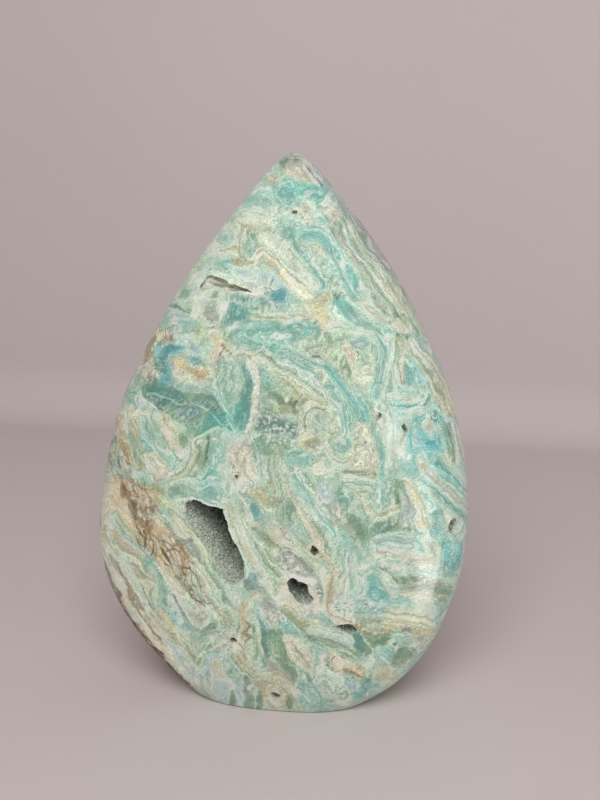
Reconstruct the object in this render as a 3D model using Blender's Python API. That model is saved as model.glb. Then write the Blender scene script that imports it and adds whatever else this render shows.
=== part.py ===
"""Aragonite flame: a thick, polished drop of banded blue aragonite that stands on a flat sawn foot.

Units are metres, +Z is up and the show face looks towards -Y. The origin is in the plane of the foot,
under the middle of the stone. The body is a stack of level sections, each a rounded oblong that is
flatter in front than behind. Open pockets are cut into it, and the two largest carry a crust of druse.
"""

import math

import bmesh
import bpy
import numpy as np
from mathutils import Vector, noise

MM = 0.001

# Driving dimensions of the body
HEIGHT = 160.0 * MM
TIP_RADIUS = 2.6 * MM
TIP_REACH = 8.0 * MM
FOOT_BEVEL = 0.7 * MM
FRONT_SQUARENESS = 2.7
BACK_SQUARENESS = 2.3

# Left and right edge of the drop at each height, and half its thickness, all in millimetres
EDGE_HEIGHTS = (0, 5, 10, 18, 30, 45, 60, 75, 90, 105, 120, 135, 148, 155, 160)
LEFT_EDGE = (-27.5, -33.5, -38, -44.5, -51.5, -55, -54, -51, -46.5, -39, -30.5, -20, -9, -2.5, 3.5)
RIGHT_EDGE = (28.5, 35.5, 40.5, 46, 51, 54.5, 55, 53.5, 50, 44, 36.5, 27, 16.5, 10, 4.5)
DEPTH_HEIGHTS = (0, 10, 25, 45, 65, 90, 115, 135, 150, 160)
HALF_DEPTH = (20.5, 24, 26.5, 27.5, 26.5, 23, 18, 12.5, 7, 0)

# Density of the faceted body
POINTS_AROUND = 68
LEVEL_STEP = 4.2 * MM
TIP_LEVELS = (154.5, 157.0, 158.6, 159.6)

# The strip of natural skin that the polishing left on the lower left flank
SKIN_BOTTOM = 2.5 * MM
SKIN_TOP = 38.0 * MM
SKIN_FADE = 3.0 * MM
SKIN_SUNK = 0.1 * MM
SKIN_ROUGHNESS = 0.8 * MM
SKIN_GRAIN = 4.5 * MM

# Pockets: the centre on the surface (x, z), the rim around that centre, and how deep it goes, in
# millimetres. Lean is how far the floor lies right of and above the mouth.
LARGE_POCKET = {
    "centre": (-14.1, 55.9),
    "rim": [
        (-8.8, 9.4), (-6.8, 10.8), (-4.4, 10.6), (-1.9, 9.6), (2.1, 9.0), (2.3, 7.8), (3.6, 5.0),
        (4.0, 2.4), (5.8, -0.8), (7.6, -4.4), (8.3, -7.6), (8.2, -10.2), (7.2, -12.0), (4.2, -13.2),
        (2.1, -12.0), (0.7, -9.8), (-1.0, -5.8), (-2.9, -2.6), (-5.1, -0.2), (-7.0, 2.6),
        (-8.4, 4.6), (-9.0, 7.2),
    ],
    "points": 36,
    "depth": 9.5,
    "lean": (1.6, 1.8),
}
SMALL_POCKET = {
    "centre": (9.9, 42.2),
    "rim": [
        (-3.5, 2.9), (-2.2, 3.9), (-0.5, 3.1), (1.0, 2.7), (2.0, 1.9), (2.2, 0.1), (3.1, -1.3),
        (3.8, -2.4), (3.1, -3.8), (1.1, -4.2), (-0.9, -3.2), (-2.0, -1.5), (-3.2, -0.1), (-3.6, 1.5),
    ],
    "points": 20,
    "depth": 6.5,
    "lean": (0.4, 0.6),
}
SLIT = {
    "centre": (-12.4, 124.9),
    "rim": [
        (-8.3, -0.9), (-5.4, 2.7), (-2.8, 2.4), (-0.5, 1.6), (0.8, 0.9), (3.8, 0.2), (5.4, -0.5),
        (7.3, -1.3), (5.4, -1.4), (3.8, -1.1), (2.0, -1.2), (-0.1, -1.4), (-1.6, -0.6), (-4.1, -0.3),
        (-6.3, -0.6),
    ],
    "points": 20,
    "depth": 2.6,
    "lean": (0.0, 0.3),
}
LOW_RIGHT_POCKET = {
    "centre": (22.8, 30.9),
    "rim": [
        (-3.0, 0.7), (-1.6, 1.5), (0.5, 1.6), (2.0, 0.9), (2.7, -0.1), (1.9, -1.5), (0.5, -1.9),
        (-0.9, -1.1), (-2.3, -0.1),
    ],
    "points": 12,
    "depth": 3.4,
    "lean": (0.3, 0.4),
}
POCKETS = (LARGE_POCKET, SMALL_POCKET, SLIT, LOW_RIGHT_POCKET)
# Small pits: name, centre on the surface, half width, half height, turn in degrees and depth
FRONT_PITS = (
    ("centre_pit", (13.9, 54.4), 1.15, 1.3, 20, 2.8),
    ("tip_pit", (5.7, 144.8), 0.85, 0.5, 0, 1.3),
    ("right_pit", (37.1, 88.3), 1.0, 1.3, 20, 1.8),
    ("edge_pit", (51.0, 59.1), 2.0, 2.4, 25, 2.6),
    ("low_left_pit", (-9.6, 25.2), 1.2, 0.9, -10, 1.6),
    ("foot_pit", (1.8, 6.8), 1.8, 1.2, -25, 1.6),
    ("left_pit", (-8.2, 74.0), 0.6, 0.9, 10, 1.2),
)
BACK_PITS = (
    ("back_high_pit", (-9.0, 103.0), 2.1, 1.2, 35, 2.4),
    ("back_middle_pit", (17.0, 62.0), 3.0, 1.8, -30, 3.4),
    ("back_low_pit", (-22.0, 36.0), 1.6, 1.1, 15, 2.0),
)
PIT_POINTS = 9
PIT_WAVER = 0.22
POCKET_WAVER = 0.35 * MM
MOUTH_LIP = 1.5 * MM

# Druse crusts
CRUST_GAP = 0.4 * MM
CRUST_THICKNESS = 0.9 * MM
CRUST_BELOW_RIM = 0.5 * MM
CRYSTAL_HEIGHT = 1.2 * MM


def natural_spline(knots, values, at):
    """The smooth curve through the values at the knots, which bends nowhere abruptly, read at these places."""
    knots, values = np.array(knots, float), np.array(values, float)
    count, step = len(knots), np.diff(knots)
    system, right = np.zeros((count, count)), np.zeros(count)
    system[0, 0] = system[-1, -1] = 1.0
    for i in range(1, count - 1):
        system[i, i - 1 : i + 2] = step[i - 1], 2 * (step[i - 1] + step[i]), step[i]
        slopes = np.diff(values[i - 1 : i + 2]) / step[i - 1 : i + 1]
        right[i] = 3 * (slopes[1] - slopes[0])
    bend = np.linalg.solve(system, right)
    i = np.clip(np.searchsorted(knots, at) - 1, 0, count - 2)
    run = at - knots[i]
    slope = (values[i + 1] - values[i]) / step[i] - step[i] * (2 * bend[i] + bend[i + 1]) / 3
    return values[i] + slope * run + bend[i] * run**2 + (bend[i + 1] - bend[i]) / (3 * step[i]) * run**3


def section(z):
    """Middle, half width and half thickness of the drop at height z, rounded over at the tip."""
    z = np.asarray(z, float)
    left = natural_spline(EDGE_HEIGHTS, LEFT_EDGE, z / MM) * MM
    right = natural_spline(EDGE_HEIGHTS, RIGHT_EDGE, z / MM) * MM
    depth = np.maximum(natural_spline(DEPTH_HEIGHTS, HALF_DEPTH, z / MM) * MM, 0)
    below = HEIGHT - z
    rounding = 2 * TIP_RADIUS * below * np.exp(-below / TIP_REACH)
    half_width = np.sqrt(((right - left) / 2) ** 2 + rounding)
    return (left + right) / 2, half_width, np.sqrt(depth**2 + rounding)


def face_depth(x, z, front=True):
    """y of the polished face at (x, z)."""
    middle, half_width, half_depth = section(z)
    power = FRONT_SQUARENESS if front else BACK_SQUARENESS
    share = min(abs((x - middle) / half_width), 0.999)
    y = half_depth * (1 - share**power) ** (1 / power)
    return float(-y if front else y)


def face_frame(x, z, front=True):
    """A point of the face, the way right and up along it, and the way into the stone."""
    small = 0.2 * MM
    here = Vector((x, face_depth(x, z, front), z))
    across = Vector((x + small, face_depth(x + small, z, front), z)) - here
    up = Vector((x, face_depth(x, z + small, front), z + small)) - here
    across.normalize()
    inward = across.cross(up).normalized() * (-1 if front else 1)
    if inward.y * (1 if front else -1) < 0:
        inward = -inward
    up = (up - inward * up.dot(inward)).normalized()
    return here, across, up, inward


def even_angles(count):
    """Angles around a section whose points lie evenly along the widest one."""
    fine = np.linspace(0, 2 * math.pi, 4001)
    middle, half_width, half_depth = section(50 * MM)
    x, y = unit_section(fine)
    travelled = np.concatenate([[0], np.cumsum(np.hypot(np.diff(x) * half_width, np.diff(y) * half_depth))])
    return np.interp(np.linspace(0, travelled[-1], count, endpoint=False), travelled, fine)


def unit_section(angle):
    """The rounded oblong of width and depth 2 at these angles, squarer in front."""
    power = np.where(np.sin(angle) < 0, FRONT_SQUARENESS, BACK_SQUARENESS)
    x = np.sign(np.cos(angle)) * np.abs(np.cos(angle)) ** (2 / power)
    y = np.sign(np.sin(angle)) * np.abs(np.sin(angle)) ** (2 / power)
    return x, y


def smooth_step(low, high, value):
    share = min(max((value - low) / (high - low), 0), 1)
    return share * share * (3 - 2 * share)


def skin_offset(point, outward):
    """How far the natural skin lies inside the polished form at a point, and 0 away from it."""
    within = smooth_step(SKIN_BOTTOM - SKIN_FADE, SKIN_BOTTOM + SKIN_FADE, point.z)
    within *= 1 - smooth_step(SKIN_TOP - SKIN_FADE, SKIN_TOP + SKIN_FADE, point.z)
    within *= smooth_step(0.45, 0.8, -outward.x)
    lumps = noise.noise(point / SKIN_GRAIN) + 0.5 * noise.noise(point / SKIN_GRAIN * 2.3)
    return within * (SKIN_SUNK + SKIN_ROUGHNESS * (0.5 - lumps))


def levels():
    """Heights of the sections, from the foot to just under the tip."""
    steps = round((TIP_LEVELS[0] * MM - FOOT_BEVEL) / LEVEL_STEP)
    even = np.linspace(FOOT_BEVEL, TIP_LEVELS[0] * MM, steps + 1)
    return [0.0, *even, *(level * MM for level in TIP_LEVELS[1:])]


def body_mesh():
    """The whole drop before its pockets are cut."""
    angles = even_angles(POINTS_AROUND)
    unit_x, unit_y = unit_section(angles)
    bm = bmesh.new()
    rings = []
    for z in levels():
        middle, half_width, half_depth = section(z)
        shrink = FOOT_BEVEL if z == 0 else 0.0
        ring = []
        for ux, uy in zip(unit_x, unit_y):
            point = Vector((middle + (half_width - shrink) * ux, (half_depth - shrink) * uy, z))
            outward = Vector((ux / half_width, uy / half_depth, 0)).normalized()
            ring.append(bm.verts.new(point - outward * skin_offset(point, outward)))
        rings.append(ring)
    for low, high in zip(rings, rings[1:]):
        for i in range(POINTS_AROUND):
            j = (i + 1) % POINTS_AROUND
            bm.faces.new((low[i], low[j], high[j], high[i]))
    tip_x = section(HEIGHT)[0]
    tip = bm.verts.new((tip_x, 0, HEIGHT))
    for i in range(POINTS_AROUND):
        bm.faces.new((rings[-1][i], rings[-1][(i + 1) % POINTS_AROUND], tip))
    bm.faces.new(list(reversed(rings[0])))
    return bm


def rounded_rim(points, count):
    """A closed curve through the rim's points, read at this many even places, as (x, z) offsets."""
    points = np.array(points, float)
    fine = []
    for i in range(len(points)):
        before, here, there, after = (points[(i + k) % len(points)] for k in (-1, 0, 1, 2))
        for t in np.arange(0, 1, 0.05):
            fine.append(
                here
                + 0.5 * t * (there - before)
                + t * t * (before - 2.5 * here + 2 * there - 0.5 * after)
                + t**3 * (1.5 * (here - there) + 0.5 * (after - before))
            )
    fine = np.array([*fine, fine[0]])
    travelled = np.concatenate([[0], np.cumsum(np.hypot(*np.diff(fine, axis=0).T))])
    at = np.linspace(0, travelled[-1], count, endpoint=False)
    return np.stack([np.interp(at, travelled, fine[:, k]) for k in (0, 1)], 1)


def inset(rim, gap):
    """The rim moved in by a gap, square to itself."""
    along = np.roll(rim, -1, 0) - np.roll(rim, 1, 0)
    along /= np.hypot(along[:, 0], along[:, 1])[:, None]
    inward = np.stack([-along[:, 1], along[:, 0]], 1)
    if (inward * rim).sum() > 0:
        inward = -inward
    return rim + inward * gap


def wall_scale(share):
    """Width of a pocket at this share of its depth: a little wider than its mouth, then rounding in."""
    undercut = 1 + 0.05 * math.sin(math.pi * min(share * 2.5, 1))
    return undercut * (1 - share**2.6) ** 0.5


def pocket_ring(frame, rim, share, depth, lean):
    """One ring of a pocket's wall, at this share of its depth."""
    here, across, up, inward = frame
    ring = []
    for x, z in rim * wall_scale(share):
        point = here + across * (x + lean[0] * share) + up * (z + lean[1] * share)
        point.y = face_depth(point.x, point.z, inward.y > 0)
        point = point + inward * (depth * share)
        point += inward * POCKET_WAVER * noise.noise(point / (2.2 * MM)) * share
        ring.append(point)
    return ring


def join_rings(bm, rings, close_first=True, close_last=True):
    """Faces between rings of points, and a fan over each end that is closed."""
    made = [[bm.verts.new(point) for point in ring] for ring in rings]
    count = len(rings[0])
    for low, high in zip(made, made[1:]):
        for i in range(count):
            j = (i + 1) % count
            bm.faces.new((low[i], low[j], high[j], high[i]))
    for ring, wanted in ((made[0], close_first), (made[-1], close_last)):
        if wanted:
            middle = bm.verts.new(sum((v.co for v in ring), Vector()) / count)
            for i in range(count):
                bm.faces.new((ring[i], ring[(i + 1) % count], middle))


def pocket_cutter(bm, frame, rim, depth, lean, shares):
    """A closed plug that fills the pocket and stands a little out of its mouth."""
    inward = frame[3]
    mouth = pocket_ring(frame, rim, 0.0, depth, lean)
    above = [point - inward * MOUTH_LIP for point in mouth]
    join_rings(bm, [above] + [pocket_ring(frame, rim, share, depth, lean) for share in shares])


def pit_rim(half_width, half_height, turn, seed):
    """An uneven oval, turned by an angle."""
    rim = []
    for i in range(PIT_POINTS):
        angle = 2 * math.pi * i / PIT_POINTS
        waver = 1 + PIT_WAVER * noise.noise(Vector((math.cos(angle), math.sin(angle), seed)) * 1.7)
        x, z = half_width * waver * math.cos(angle), half_height * waver * math.sin(angle)
        turned = math.radians(turn)
        rim.append((x * math.cos(turned) - z * math.sin(turned), x * math.sin(turned) + z * math.cos(turned)))
    return np.array(rim) * MM


def pocket_rim(pocket):
    return rounded_rim(pocket["rim"], pocket["points"]) * MM


def pocket_frame(pocket):
    x, z = pocket["centre"]
    return face_frame(x * MM, z * MM)


def pockets_cutter():
    """Every pocket and pit as one mesh of separate plugs."""
    bm = bmesh.new()
    for pocket in POCKETS:
        lean = [value * MM for value in pocket["lean"]]
        shares = (0.0, 0.2, 0.45, 0.7, 0.88, 0.97) if pocket["depth"] > 5 else (0.0, 0.5, 0.85)
        pocket_cutter(bm, pocket_frame(pocket), pocket_rim(pocket), pocket["depth"] * MM, lean, shares)
    for front, pits in ((True, FRONT_PITS), (False, BACK_PITS)):
        for seed, (_, (x, z), half_width, half_height, turn, depth) in enumerate(pits):
            rim = pit_rim(half_width, half_height, turn, seed)
            frame = face_frame(x * MM, z * MM, front)
            pocket_cutter(bm, frame, rim, depth * MM, (0, 0), (0.0, 0.5, 0.85))
    return bm


def druse_crust(pocket):
    """A thin shell that lines a pocket, with flat-faced crystals standing on its inner side."""
    frame = pocket_frame(pocket)
    inward = frame[3]
    lean = [value * MM for value in pocket["lean"]]
    rim = pocket_rim(pocket)
    depth = pocket["depth"] * MM - CRUST_GAP
    top = CRUST_BELOW_RIM / depth
    outer = [
        pocket_ring(frame, inset(rim, CRUST_GAP), share, depth, lean)
        for share in (0.94, 0.8, 0.55, 0.3, top)
    ]
    inner = []
    for share in (top * 1.05, 0.15, 0.25, 0.35, 0.45, 0.55, 0.65, 0.75, 0.84, 0.92):
        ring = pocket_ring(frame, inset(rim, CRUST_GAP + CRUST_THICKNESS), share, depth - CRUST_THICKNESS, lean)
        middle = sum(ring, Vector()) / len(ring)
        if inner:
            for i, point in enumerate(ring):
                point = point.lerp(ring[(i + 1) % len(ring)], 0.5 * (len(inner) % 2))
                towards = (middle - point).normalized() * (1 - share**3) - inward * share
                narrow = min((middle - point).length / (4 * MM), 1)
                ring[i] = point + towards * CRYSTAL_HEIGHT * narrow * noise.random() ** 2
        inner.append(ring)
    bm = bmesh.new()
    join_rings(bm, outer + inner)
    return bm


def finished(name, bm, material=None):
    """Turns a bmesh into a named object with its faces pointing out."""
    bmesh.ops.recalc_face_normals(bm, faces=bm.faces)
    mesh = bpy.data.meshes.new(name)
    bm.to_mesh(mesh)
    bm.free()
    obj = bpy.data.objects.new(name, mesh)
    bpy.context.scene.collection.objects.link(obj)
    if material:
        mesh.materials.append(material)
    return obj


def surface(name, colour, roughness):
    """A plain Principled material with this colour and roughness, not metallic."""
    material = bpy.data.materials.new(name)
    material.use_nodes = True
    shader = material.node_tree.nodes["Principled BSDF"]
    shader.inputs["Base Color"].default_value = (*colour, 1)
    shader.inputs["Roughness"].default_value = roughness
    shader.inputs["Metallic"].default_value = 0
    return material


def stone():
    """The polished body with its pockets and pits cut into it."""
    body = finished("stone", body_mesh(), surface("blue_aragonite", (0.36, 0.6, 0.5), 0.2))
    cutter = finished("pockets_cutter", pockets_cutter())
    cutter.hide_render = True
    cutter.display_type = "WIRE"
    cut = body.modifiers.new("pockets", "BOOLEAN")
    cut.operation = "DIFFERENCE"
    cut.object = cutter
    body.data.shade_smooth()
    body.data.set_sharp_from_angle(angle=math.radians(35))
    return body


def main():
    for obj in list(bpy.data.objects):
        bpy.data.objects.remove(obj)
    noise.seed_set(7)
    stone()
    druse = surface("grey_druse", (0.2, 0.21, 0.2), 0.35)
    finished("large_pocket_druse", druse_crust(LARGE_POCKET), druse)
    finished("small_pocket_druse", druse_crust(SMALL_POCKET), druse)


main()
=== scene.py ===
"""The look of the aragonite flame: its polished skin, its bands, its druse, and a plain studio.

The bands are drawn as named marks: patches, veins, ribbons, fibres and specks, each placed by
its pixels in the 600 x 800 picture frame and laid on the stone's front through the studio camera's
lens. Behind the front they bend away with depth, so they carry on round the flanks to the back.
"""

import math

import bmesh
import bpy
import numpy as np
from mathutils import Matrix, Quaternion, Vector, noise


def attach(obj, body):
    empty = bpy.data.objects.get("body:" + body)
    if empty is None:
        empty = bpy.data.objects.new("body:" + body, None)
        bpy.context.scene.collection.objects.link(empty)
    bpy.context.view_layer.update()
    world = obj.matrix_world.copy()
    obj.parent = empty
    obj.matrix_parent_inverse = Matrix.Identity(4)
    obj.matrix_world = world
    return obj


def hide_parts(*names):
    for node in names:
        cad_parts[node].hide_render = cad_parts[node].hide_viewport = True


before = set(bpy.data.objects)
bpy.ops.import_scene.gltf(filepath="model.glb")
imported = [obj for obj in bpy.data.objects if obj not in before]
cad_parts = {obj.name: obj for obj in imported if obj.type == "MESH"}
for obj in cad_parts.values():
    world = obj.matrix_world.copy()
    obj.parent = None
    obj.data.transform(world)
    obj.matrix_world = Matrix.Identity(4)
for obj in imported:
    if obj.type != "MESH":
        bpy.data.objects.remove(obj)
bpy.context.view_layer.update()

MM = 0.001
rng = np.random.default_rng(11)

# The drop, as the solid has it: edge positions and half thickness at each height, in millimetres
HEIGHT = 160.0
TIP_RADIUS, TIP_REACH = 2.6, 8.0
FOOT_BEVEL = 0.7
FRONT_SQUARENESS, BACK_SQUARENESS = 2.7, 2.3
EDGE_HEIGHTS = (0, 5, 10, 18, 30, 45, 60, 75, 90, 105, 120, 135, 148, 155, 160)
LEFT_EDGE = (-27.5, -33.5, -38, -44.5, -51.5, -55, -54, -51, -46.5, -39, -30.5, -20, -9, -2.5, 3.5)
RIGHT_EDGE = (28.5, 35.5, 40.5, 46, 51, 54.5, 55, 53.5, 50, 44, 36.5, 27, 16.5, 10, 4.5)
DEPTH_HEIGHTS = (0, 10, 25, 45, 65, 90, 115, 135, 150, 160)
HALF_DEPTH = (20.5, 24, 26.5, 27.5, 26.5, 23, 18, 12.5, 7, 0)
FRONT_POINTS, BACK_POINTS, LEVELS = 252, 126, 246

# The studio camera, in millimetres and degrees
LENS, SENSOR = 50.0, 36.0
AZIMUTH, ELEVATION, DISTANCE = 9.0, 15.0, 323.2
AIM = (5.5, 0.0, 89.76)
FRAME_WIDTH, FRAME_HEIGHT = 600, 800
# The layers' directions: pixels between places they are held at, and their main slant in degrees
FLOW_CELL, MAIN_SLANT = 6, 55
# Pixels on either side of an edge within which it is drawn between points, and a point's sign for no vein
EDGE_REACH, NO_VEIN, VEIN_LAYERS = 2.5, -4.0, 3
# Pixels over which a hue turns at an edge, where its brightness changes at once
HUE_REACH = 4.4

# Pockets cut into the front: centre (x, z), rim round it, depth and lean of the floor, in millimetres, and for the
# two druse pockets the painted light on their crystals: level, change across and change up
LARGE_POCKET = {
    "centre": (-14.1, 55.9),
    "rim": [
        (-8.8, 9.4), (-6.8, 10.8), (-4.4, 10.6), (-1.9, 9.6), (2.1, 9.0), (2.3, 7.8), (3.6, 5.0),
        (4.0, 2.4), (5.8, -0.8), (7.6, -4.4), (8.3, -7.6), (8.2, -10.2), (7.2, -12.0), (4.2, -13.2),
        (2.1, -12.0), (0.7, -9.8), (-1.0, -5.8), (-2.9, -2.6), (-5.1, -0.2), (-7.0, 2.6),
        (-8.4, 4.6), (-9.0, 7.2),
    ],
    "points": 120, "depth": 9.1, "lean": (1.6, 1.8), "light": (0.68, -1.3, -1.0),
}
SMALL_POCKET = {
    "centre": (9.9, 42.2),
    "rim": [
        (-3.5, 2.9), (-2.2, 3.9), (-0.5, 3.1), (1.0, 2.7), (2.0, 1.9), (2.2, 0.1), (3.1, -1.3),
        (3.8, -2.4), (3.1, -3.8), (1.1, -4.2), (-0.9, -3.2), (-2.0, -1.5), (-3.2, -0.1), (-3.6, 1.5),
    ],
    "points": 60, "depth": 6.1, "lean": (0.4, 0.6), "light": (0.42, 0.7, -0.5),
}
SLIT = {
    "centre": (-12.4, 124.9),
    "rim": [
        (-8.3, -0.9), (-5.4, 2.7), (-2.8, 2.4), (-0.5, 1.6), (0.8, 0.9), (3.8, 0.2), (5.4, -0.5),
        (7.3, -1.3), (5.4, -1.4), (3.8, -1.1), (2.0, -1.2), (-0.1, -1.4), (-1.6, -0.6), (-4.1, -0.3),
        (-6.3, -0.6),
    ],
    "points": 60, "depth": 2.4, "lean": (0.0, 0.3),
}
LOW_RIGHT_POCKET = {
    "centre": (22.8, 30.9),
    "rim": [
        (-3.0, 0.7), (-1.6, 1.5), (0.5, 1.6), (2.0, 0.9), (2.7, -0.1), (1.9, -1.5), (0.5, -1.9),
        (-0.9, -1.1), (-2.3, -0.1),
    ],
    "points": 36, "depth": 3.2, "lean": (0.3, 0.4),
}
POCKETS = (LARGE_POCKET, SMALL_POCKET, SLIT, LOW_RIGHT_POCKET)
# Small pits: name, centre, half width, half height, turn in degrees, depth
FRONT_PITS = (
    ("centre_pit", (13.9, 54.4), 1.15, 1.3, 20, 2.6),
    ("tip_pit", (5.7, 144.8), 0.85, 0.5, 0, 1.2),
    ("right_pit", (37.1, 88.3), 0.7, 1.2, 20, 1.5),
    ("upper_right_pit", (30.5, 91.9), 0.4, 0.9, 25, 0.9),
    ("edge_pit", (51.0, 59.1), 1.9, 2.3, 25, 2.4),
    ("low_left_pit", (-9.6, 25.2), 1.1, 0.8, -10, 1.4),
    ("foot_pit", (1.8, 6.8), 1.7, 1.1, -25, 1.4),
    ("left_pit", (-8.2, 74.0), 0.5, 0.7, 10, 1.0),
)
BACK_PITS = (
    ("back_high_pit", (-9.0, 103.0), 2.0, 1.1, 35, 2.2),
    ("back_middle_pit", (17.0, 62.0), 2.9, 1.7, -30, 3.2),
    ("back_low_pit", (-22.0, 36.0), 1.5, 1.0, 15, 1.8),
)
PIT_POINTS = 22

# Colours of the stone
COLOURS = {
    "white": "#E4E6DB", "bone": "#D2CFBA", "pink": "#CBC0AD", "cream": "#DADBC0", "butter": "#CDC79D",
    "olive": "#A6A883", "tan": "#BCAA84", "sand": "#D0BE9A", "rust": "#977B52", "brown": "#6C5A43",
    "russet": "#7A5B49", "umber": "#41382C", "pale": "#C9D9C8", "sky": "#BBD3CE", "mint": "#AECBB8",
    "seafoam": "#99C4B6", "turquoise": "#81BBAF", "teal": "#6AA69C", "blue": "#61A1A6", "lagoon": "#79BAB5",
    "green": "#85A589", "moss": "#6E8D72", "deep": "#5B897F", "slate": "#76877D", "grey": "#A1A89B",
    "dark": "#4C574E", "black": "#23261F", "mean": "#AEBDAA",
}
TINTS = {
    "lighter": (1.20, 1.19, 1.19), "darker": (0.80, 0.85, 0.86), "teal": (0.72, 0.95, 0.96),
    "green": (0.72, 0.90, 0.77), "warm": (1.25, 1.0, 0.86), "rosy": (1.25, 1.10, 1.13),
    "blue": (0.97, 1.07, 1.16), "ash": (0.80, 0.74, 0.82), "brown": (1.02, 0.88, 0.68),
}
MARKS, WASHES = [], []


def patch(name, colour, points, soft=2.2, rim=None, rim_width=2.0, strength=1.0):
    """A filled shape with a soft edge, and a rim of another colour if one is named."""
    MARKS.append(("patch", name, colour, points, soft, rim, rim_width, strength))


def vein(name, colour, width, points, soft=0.9, strength=1.0):
    """A line that thins out at its ends."""
    MARKS.append(("vein", name, colour, points, width, soft, strength))


def ribbon(name, colours, width, points, strength=1.0):
    """A bundle of thin layers that run along a line, named from its left side to its right."""
    MARKS.append(("ribbon", name, colours, points, width, strength))


def fibres(name, colour, lean, points, length=9.0, width=1.5, share=0.5, strength=1.0):
    """Short strands that fill a shape. Lean is their angle in degrees from upright."""
    MARKS.append(("fibres", name, colour, points, lean, length, width, share, strength))


def specks(name, colour, size, share, points, strength=1.0):
    """Small spots scattered in a shape."""
    MARKS.append(("specks", name, colour, points, size, share, strength))


def wash(tint, strength, x, y, wide, high, lean=0):
    """A broad soft oval that tints what it lies on: centre, half sizes, and its turn in degrees."""
    WASHES.append((TINTS[tint], strength, (x, y), (wide, high), math.radians(lean)))


def crackle(name, points, strength=1.0):
    """A net of thin brown lines that fills a shape."""
    MARKS.append(("crackle", name, "brown", points, strength))


# --- the marks, from the tip down
patch("upper_ground", "mint", [(285, 150), (330, 180), (400, 280), (330, 310), (170, 310), (215, 225)], 8)
patch("left_ground", "mint", [(150, 320), (240, 300), (250, 440), (200, 500), (100, 470), (110, 400)], 8)
patch("middle_ground", "mint", [(240, 330), (400, 330), (410, 560), (300, 600), (230, 500)], 8)
patch("right_ground", "seafoam", [(390, 300), (440, 340), (475, 470), (460, 600), (400, 600), (400, 420)], 9)

# tip
patch("tip_cap", "bone", [(286, 157), (299, 155), (305, 163), (312, 172), (318, 182), (317, 188), (311, 187),
      (303, 181), (295, 178), (289, 177), (284, 172), (281, 165)], 1.8)
patch("tip_green", "green", [(283, 160), (289, 159), (288, 165), (285, 172), (280, 168)], 1.6)
patch("tip_grey", "grey", [(293, 157), (299, 158), (301, 162), (296, 163), (293, 161)], 1.2)
vein("tip_ledge", "white", 3.0, [(301, 164), (307, 171), (312, 177), (317, 185), (318, 189)])
vein("tip_fold", "tan", 2.2, [(292, 164), (299, 169), (306, 177), (312, 186)])
vein("tip_fold_2", "olive", 1.4, [(300, 173), (306, 180), (309, 184)])
patch("tip_shadow", "slate", [(305, 163), (311, 170), (317, 177), (322, 186), (320, 191), (317, 184),
      (312, 176), (307, 170)], 1.2)
ribbon("tip_ribs", ["green", "cream", "olive", "cream", "olive"], 13, [(268, 172), (274, 178), (282, 184)])
vein("tip_rib", "cream", 2.0, [(284, 168), (284, 174), (281, 182), (279, 186)])
specks("tip_stain", "tan", 2.2, 0.35, [(284, 160), (300, 157), (312, 176), (308, 184), (290, 178)])
patch("tip_teal", "turquoise", [(282, 181), (290, 178), (298, 184), (310, 187), (322, 187), (328, 193),
      (321, 200), (310, 197), (303, 202), (296, 206), (283, 208), (274, 204), (270, 197), (272, 189)], 2.6)
patch("tip_teal_heart", "teal", [(279, 190), (287, 187), (296, 190), (297, 196), (287, 198), (279, 196)], 3)
patch("tip_teal_right", "teal", [(301, 190), (313, 190), (323, 193), (322, 199), (311, 195), (303, 196)], 2.5)
patch("tip_glint", "white", [(262, 192), (267, 191), (270, 196), (272, 201), (275, 206), (271, 206),
      (266, 200)], 1.4)
patch("left_brow", "seafoam", [(248, 196), (258, 188), (270, 188), (270, 196), (276, 206), (264, 214),
      (250, 210), (242, 206)], 4, strength=0.8)
ribbon("brow_bands", ["mint", "pale", "white", "pale", "cream"], 9,
       [(236, 214), (247, 211), (260, 214), (272, 220), (278, 228)])
patch("tip_bone", "bone", [(302, 200), (311, 199), (314, 207), (309, 214), (317, 220), (312, 226), (303, 222),
      (300, 210)], 2)
patch("tip_pit_rim", "cream", [(290, 209), (296, 207), (300, 210), (304, 216), (312, 223), (309, 226),
      (300, 221), (296, 215), (291, 214)], 1.2)
vein("tip_crack", "dark", 1.5, [(297, 212), (300, 217), (303, 222)])
patch("tip_side_teal", "turquoise", [(318, 213), (326, 215), (328, 224), (320, 226), (316, 219)], 2)

# the pale lobe and its eyes
patch("pale_lobe", "pale", [(238, 219), (262, 221), (276, 227), (286, 238), (294, 250), (302, 264), (312, 280),
      (326, 290), (330, 297), (318, 300), (303, 294), (290, 280), (274, 264), (262, 252), (254, 262),
      (238, 264), (230, 256), (232, 238)], 2.2, "cream", 2.5)
specks("pale_lobe_mottle", "cream", 3.5, 0.45, [(256, 222), (280, 236), (300, 268), (320, 294), (290, 276),
       (266, 250)])
specks("pale_lobe_green", "mint", 3.0, 0.35, [(256, 222), (280, 236), (300, 268), (320, 294), (290, 276),
       (266, 250)])
patch("butter_top", "butter", [(238, 220), (248, 222), (262, 226), (258, 232), (246, 229), (240, 232)], 2.5)
vein("eye_divide", "olive", 3.0, [(236, 222), (241, 229), (238, 238), (238, 247), (242, 256), (248, 262)])
vein("eye_stalk", "olive", 1.8, [(247, 224), (243, 228), (240, 233)])
patch("right_eye", "mint", [(244, 232), (250, 228), (257, 232), (258, 241), (256, 249), (251, 257), (246, 251),
      (243, 242)], 1.8, "cream", 2.4)
patch("right_eye_heart", "green", [(249, 233), (255, 233), (256, 239), (252, 241), (248, 238)], 2)
vein("right_eye_tail", "seafoam", 5, [(247, 242), (249, 249), (252, 254)])
patch("left_eye", "mint", [(220, 229), (229, 226), (234, 233), (233, 243), (226, 248), (218, 246), (214, 240)],
      1.8, "cream", 2.4)
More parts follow.
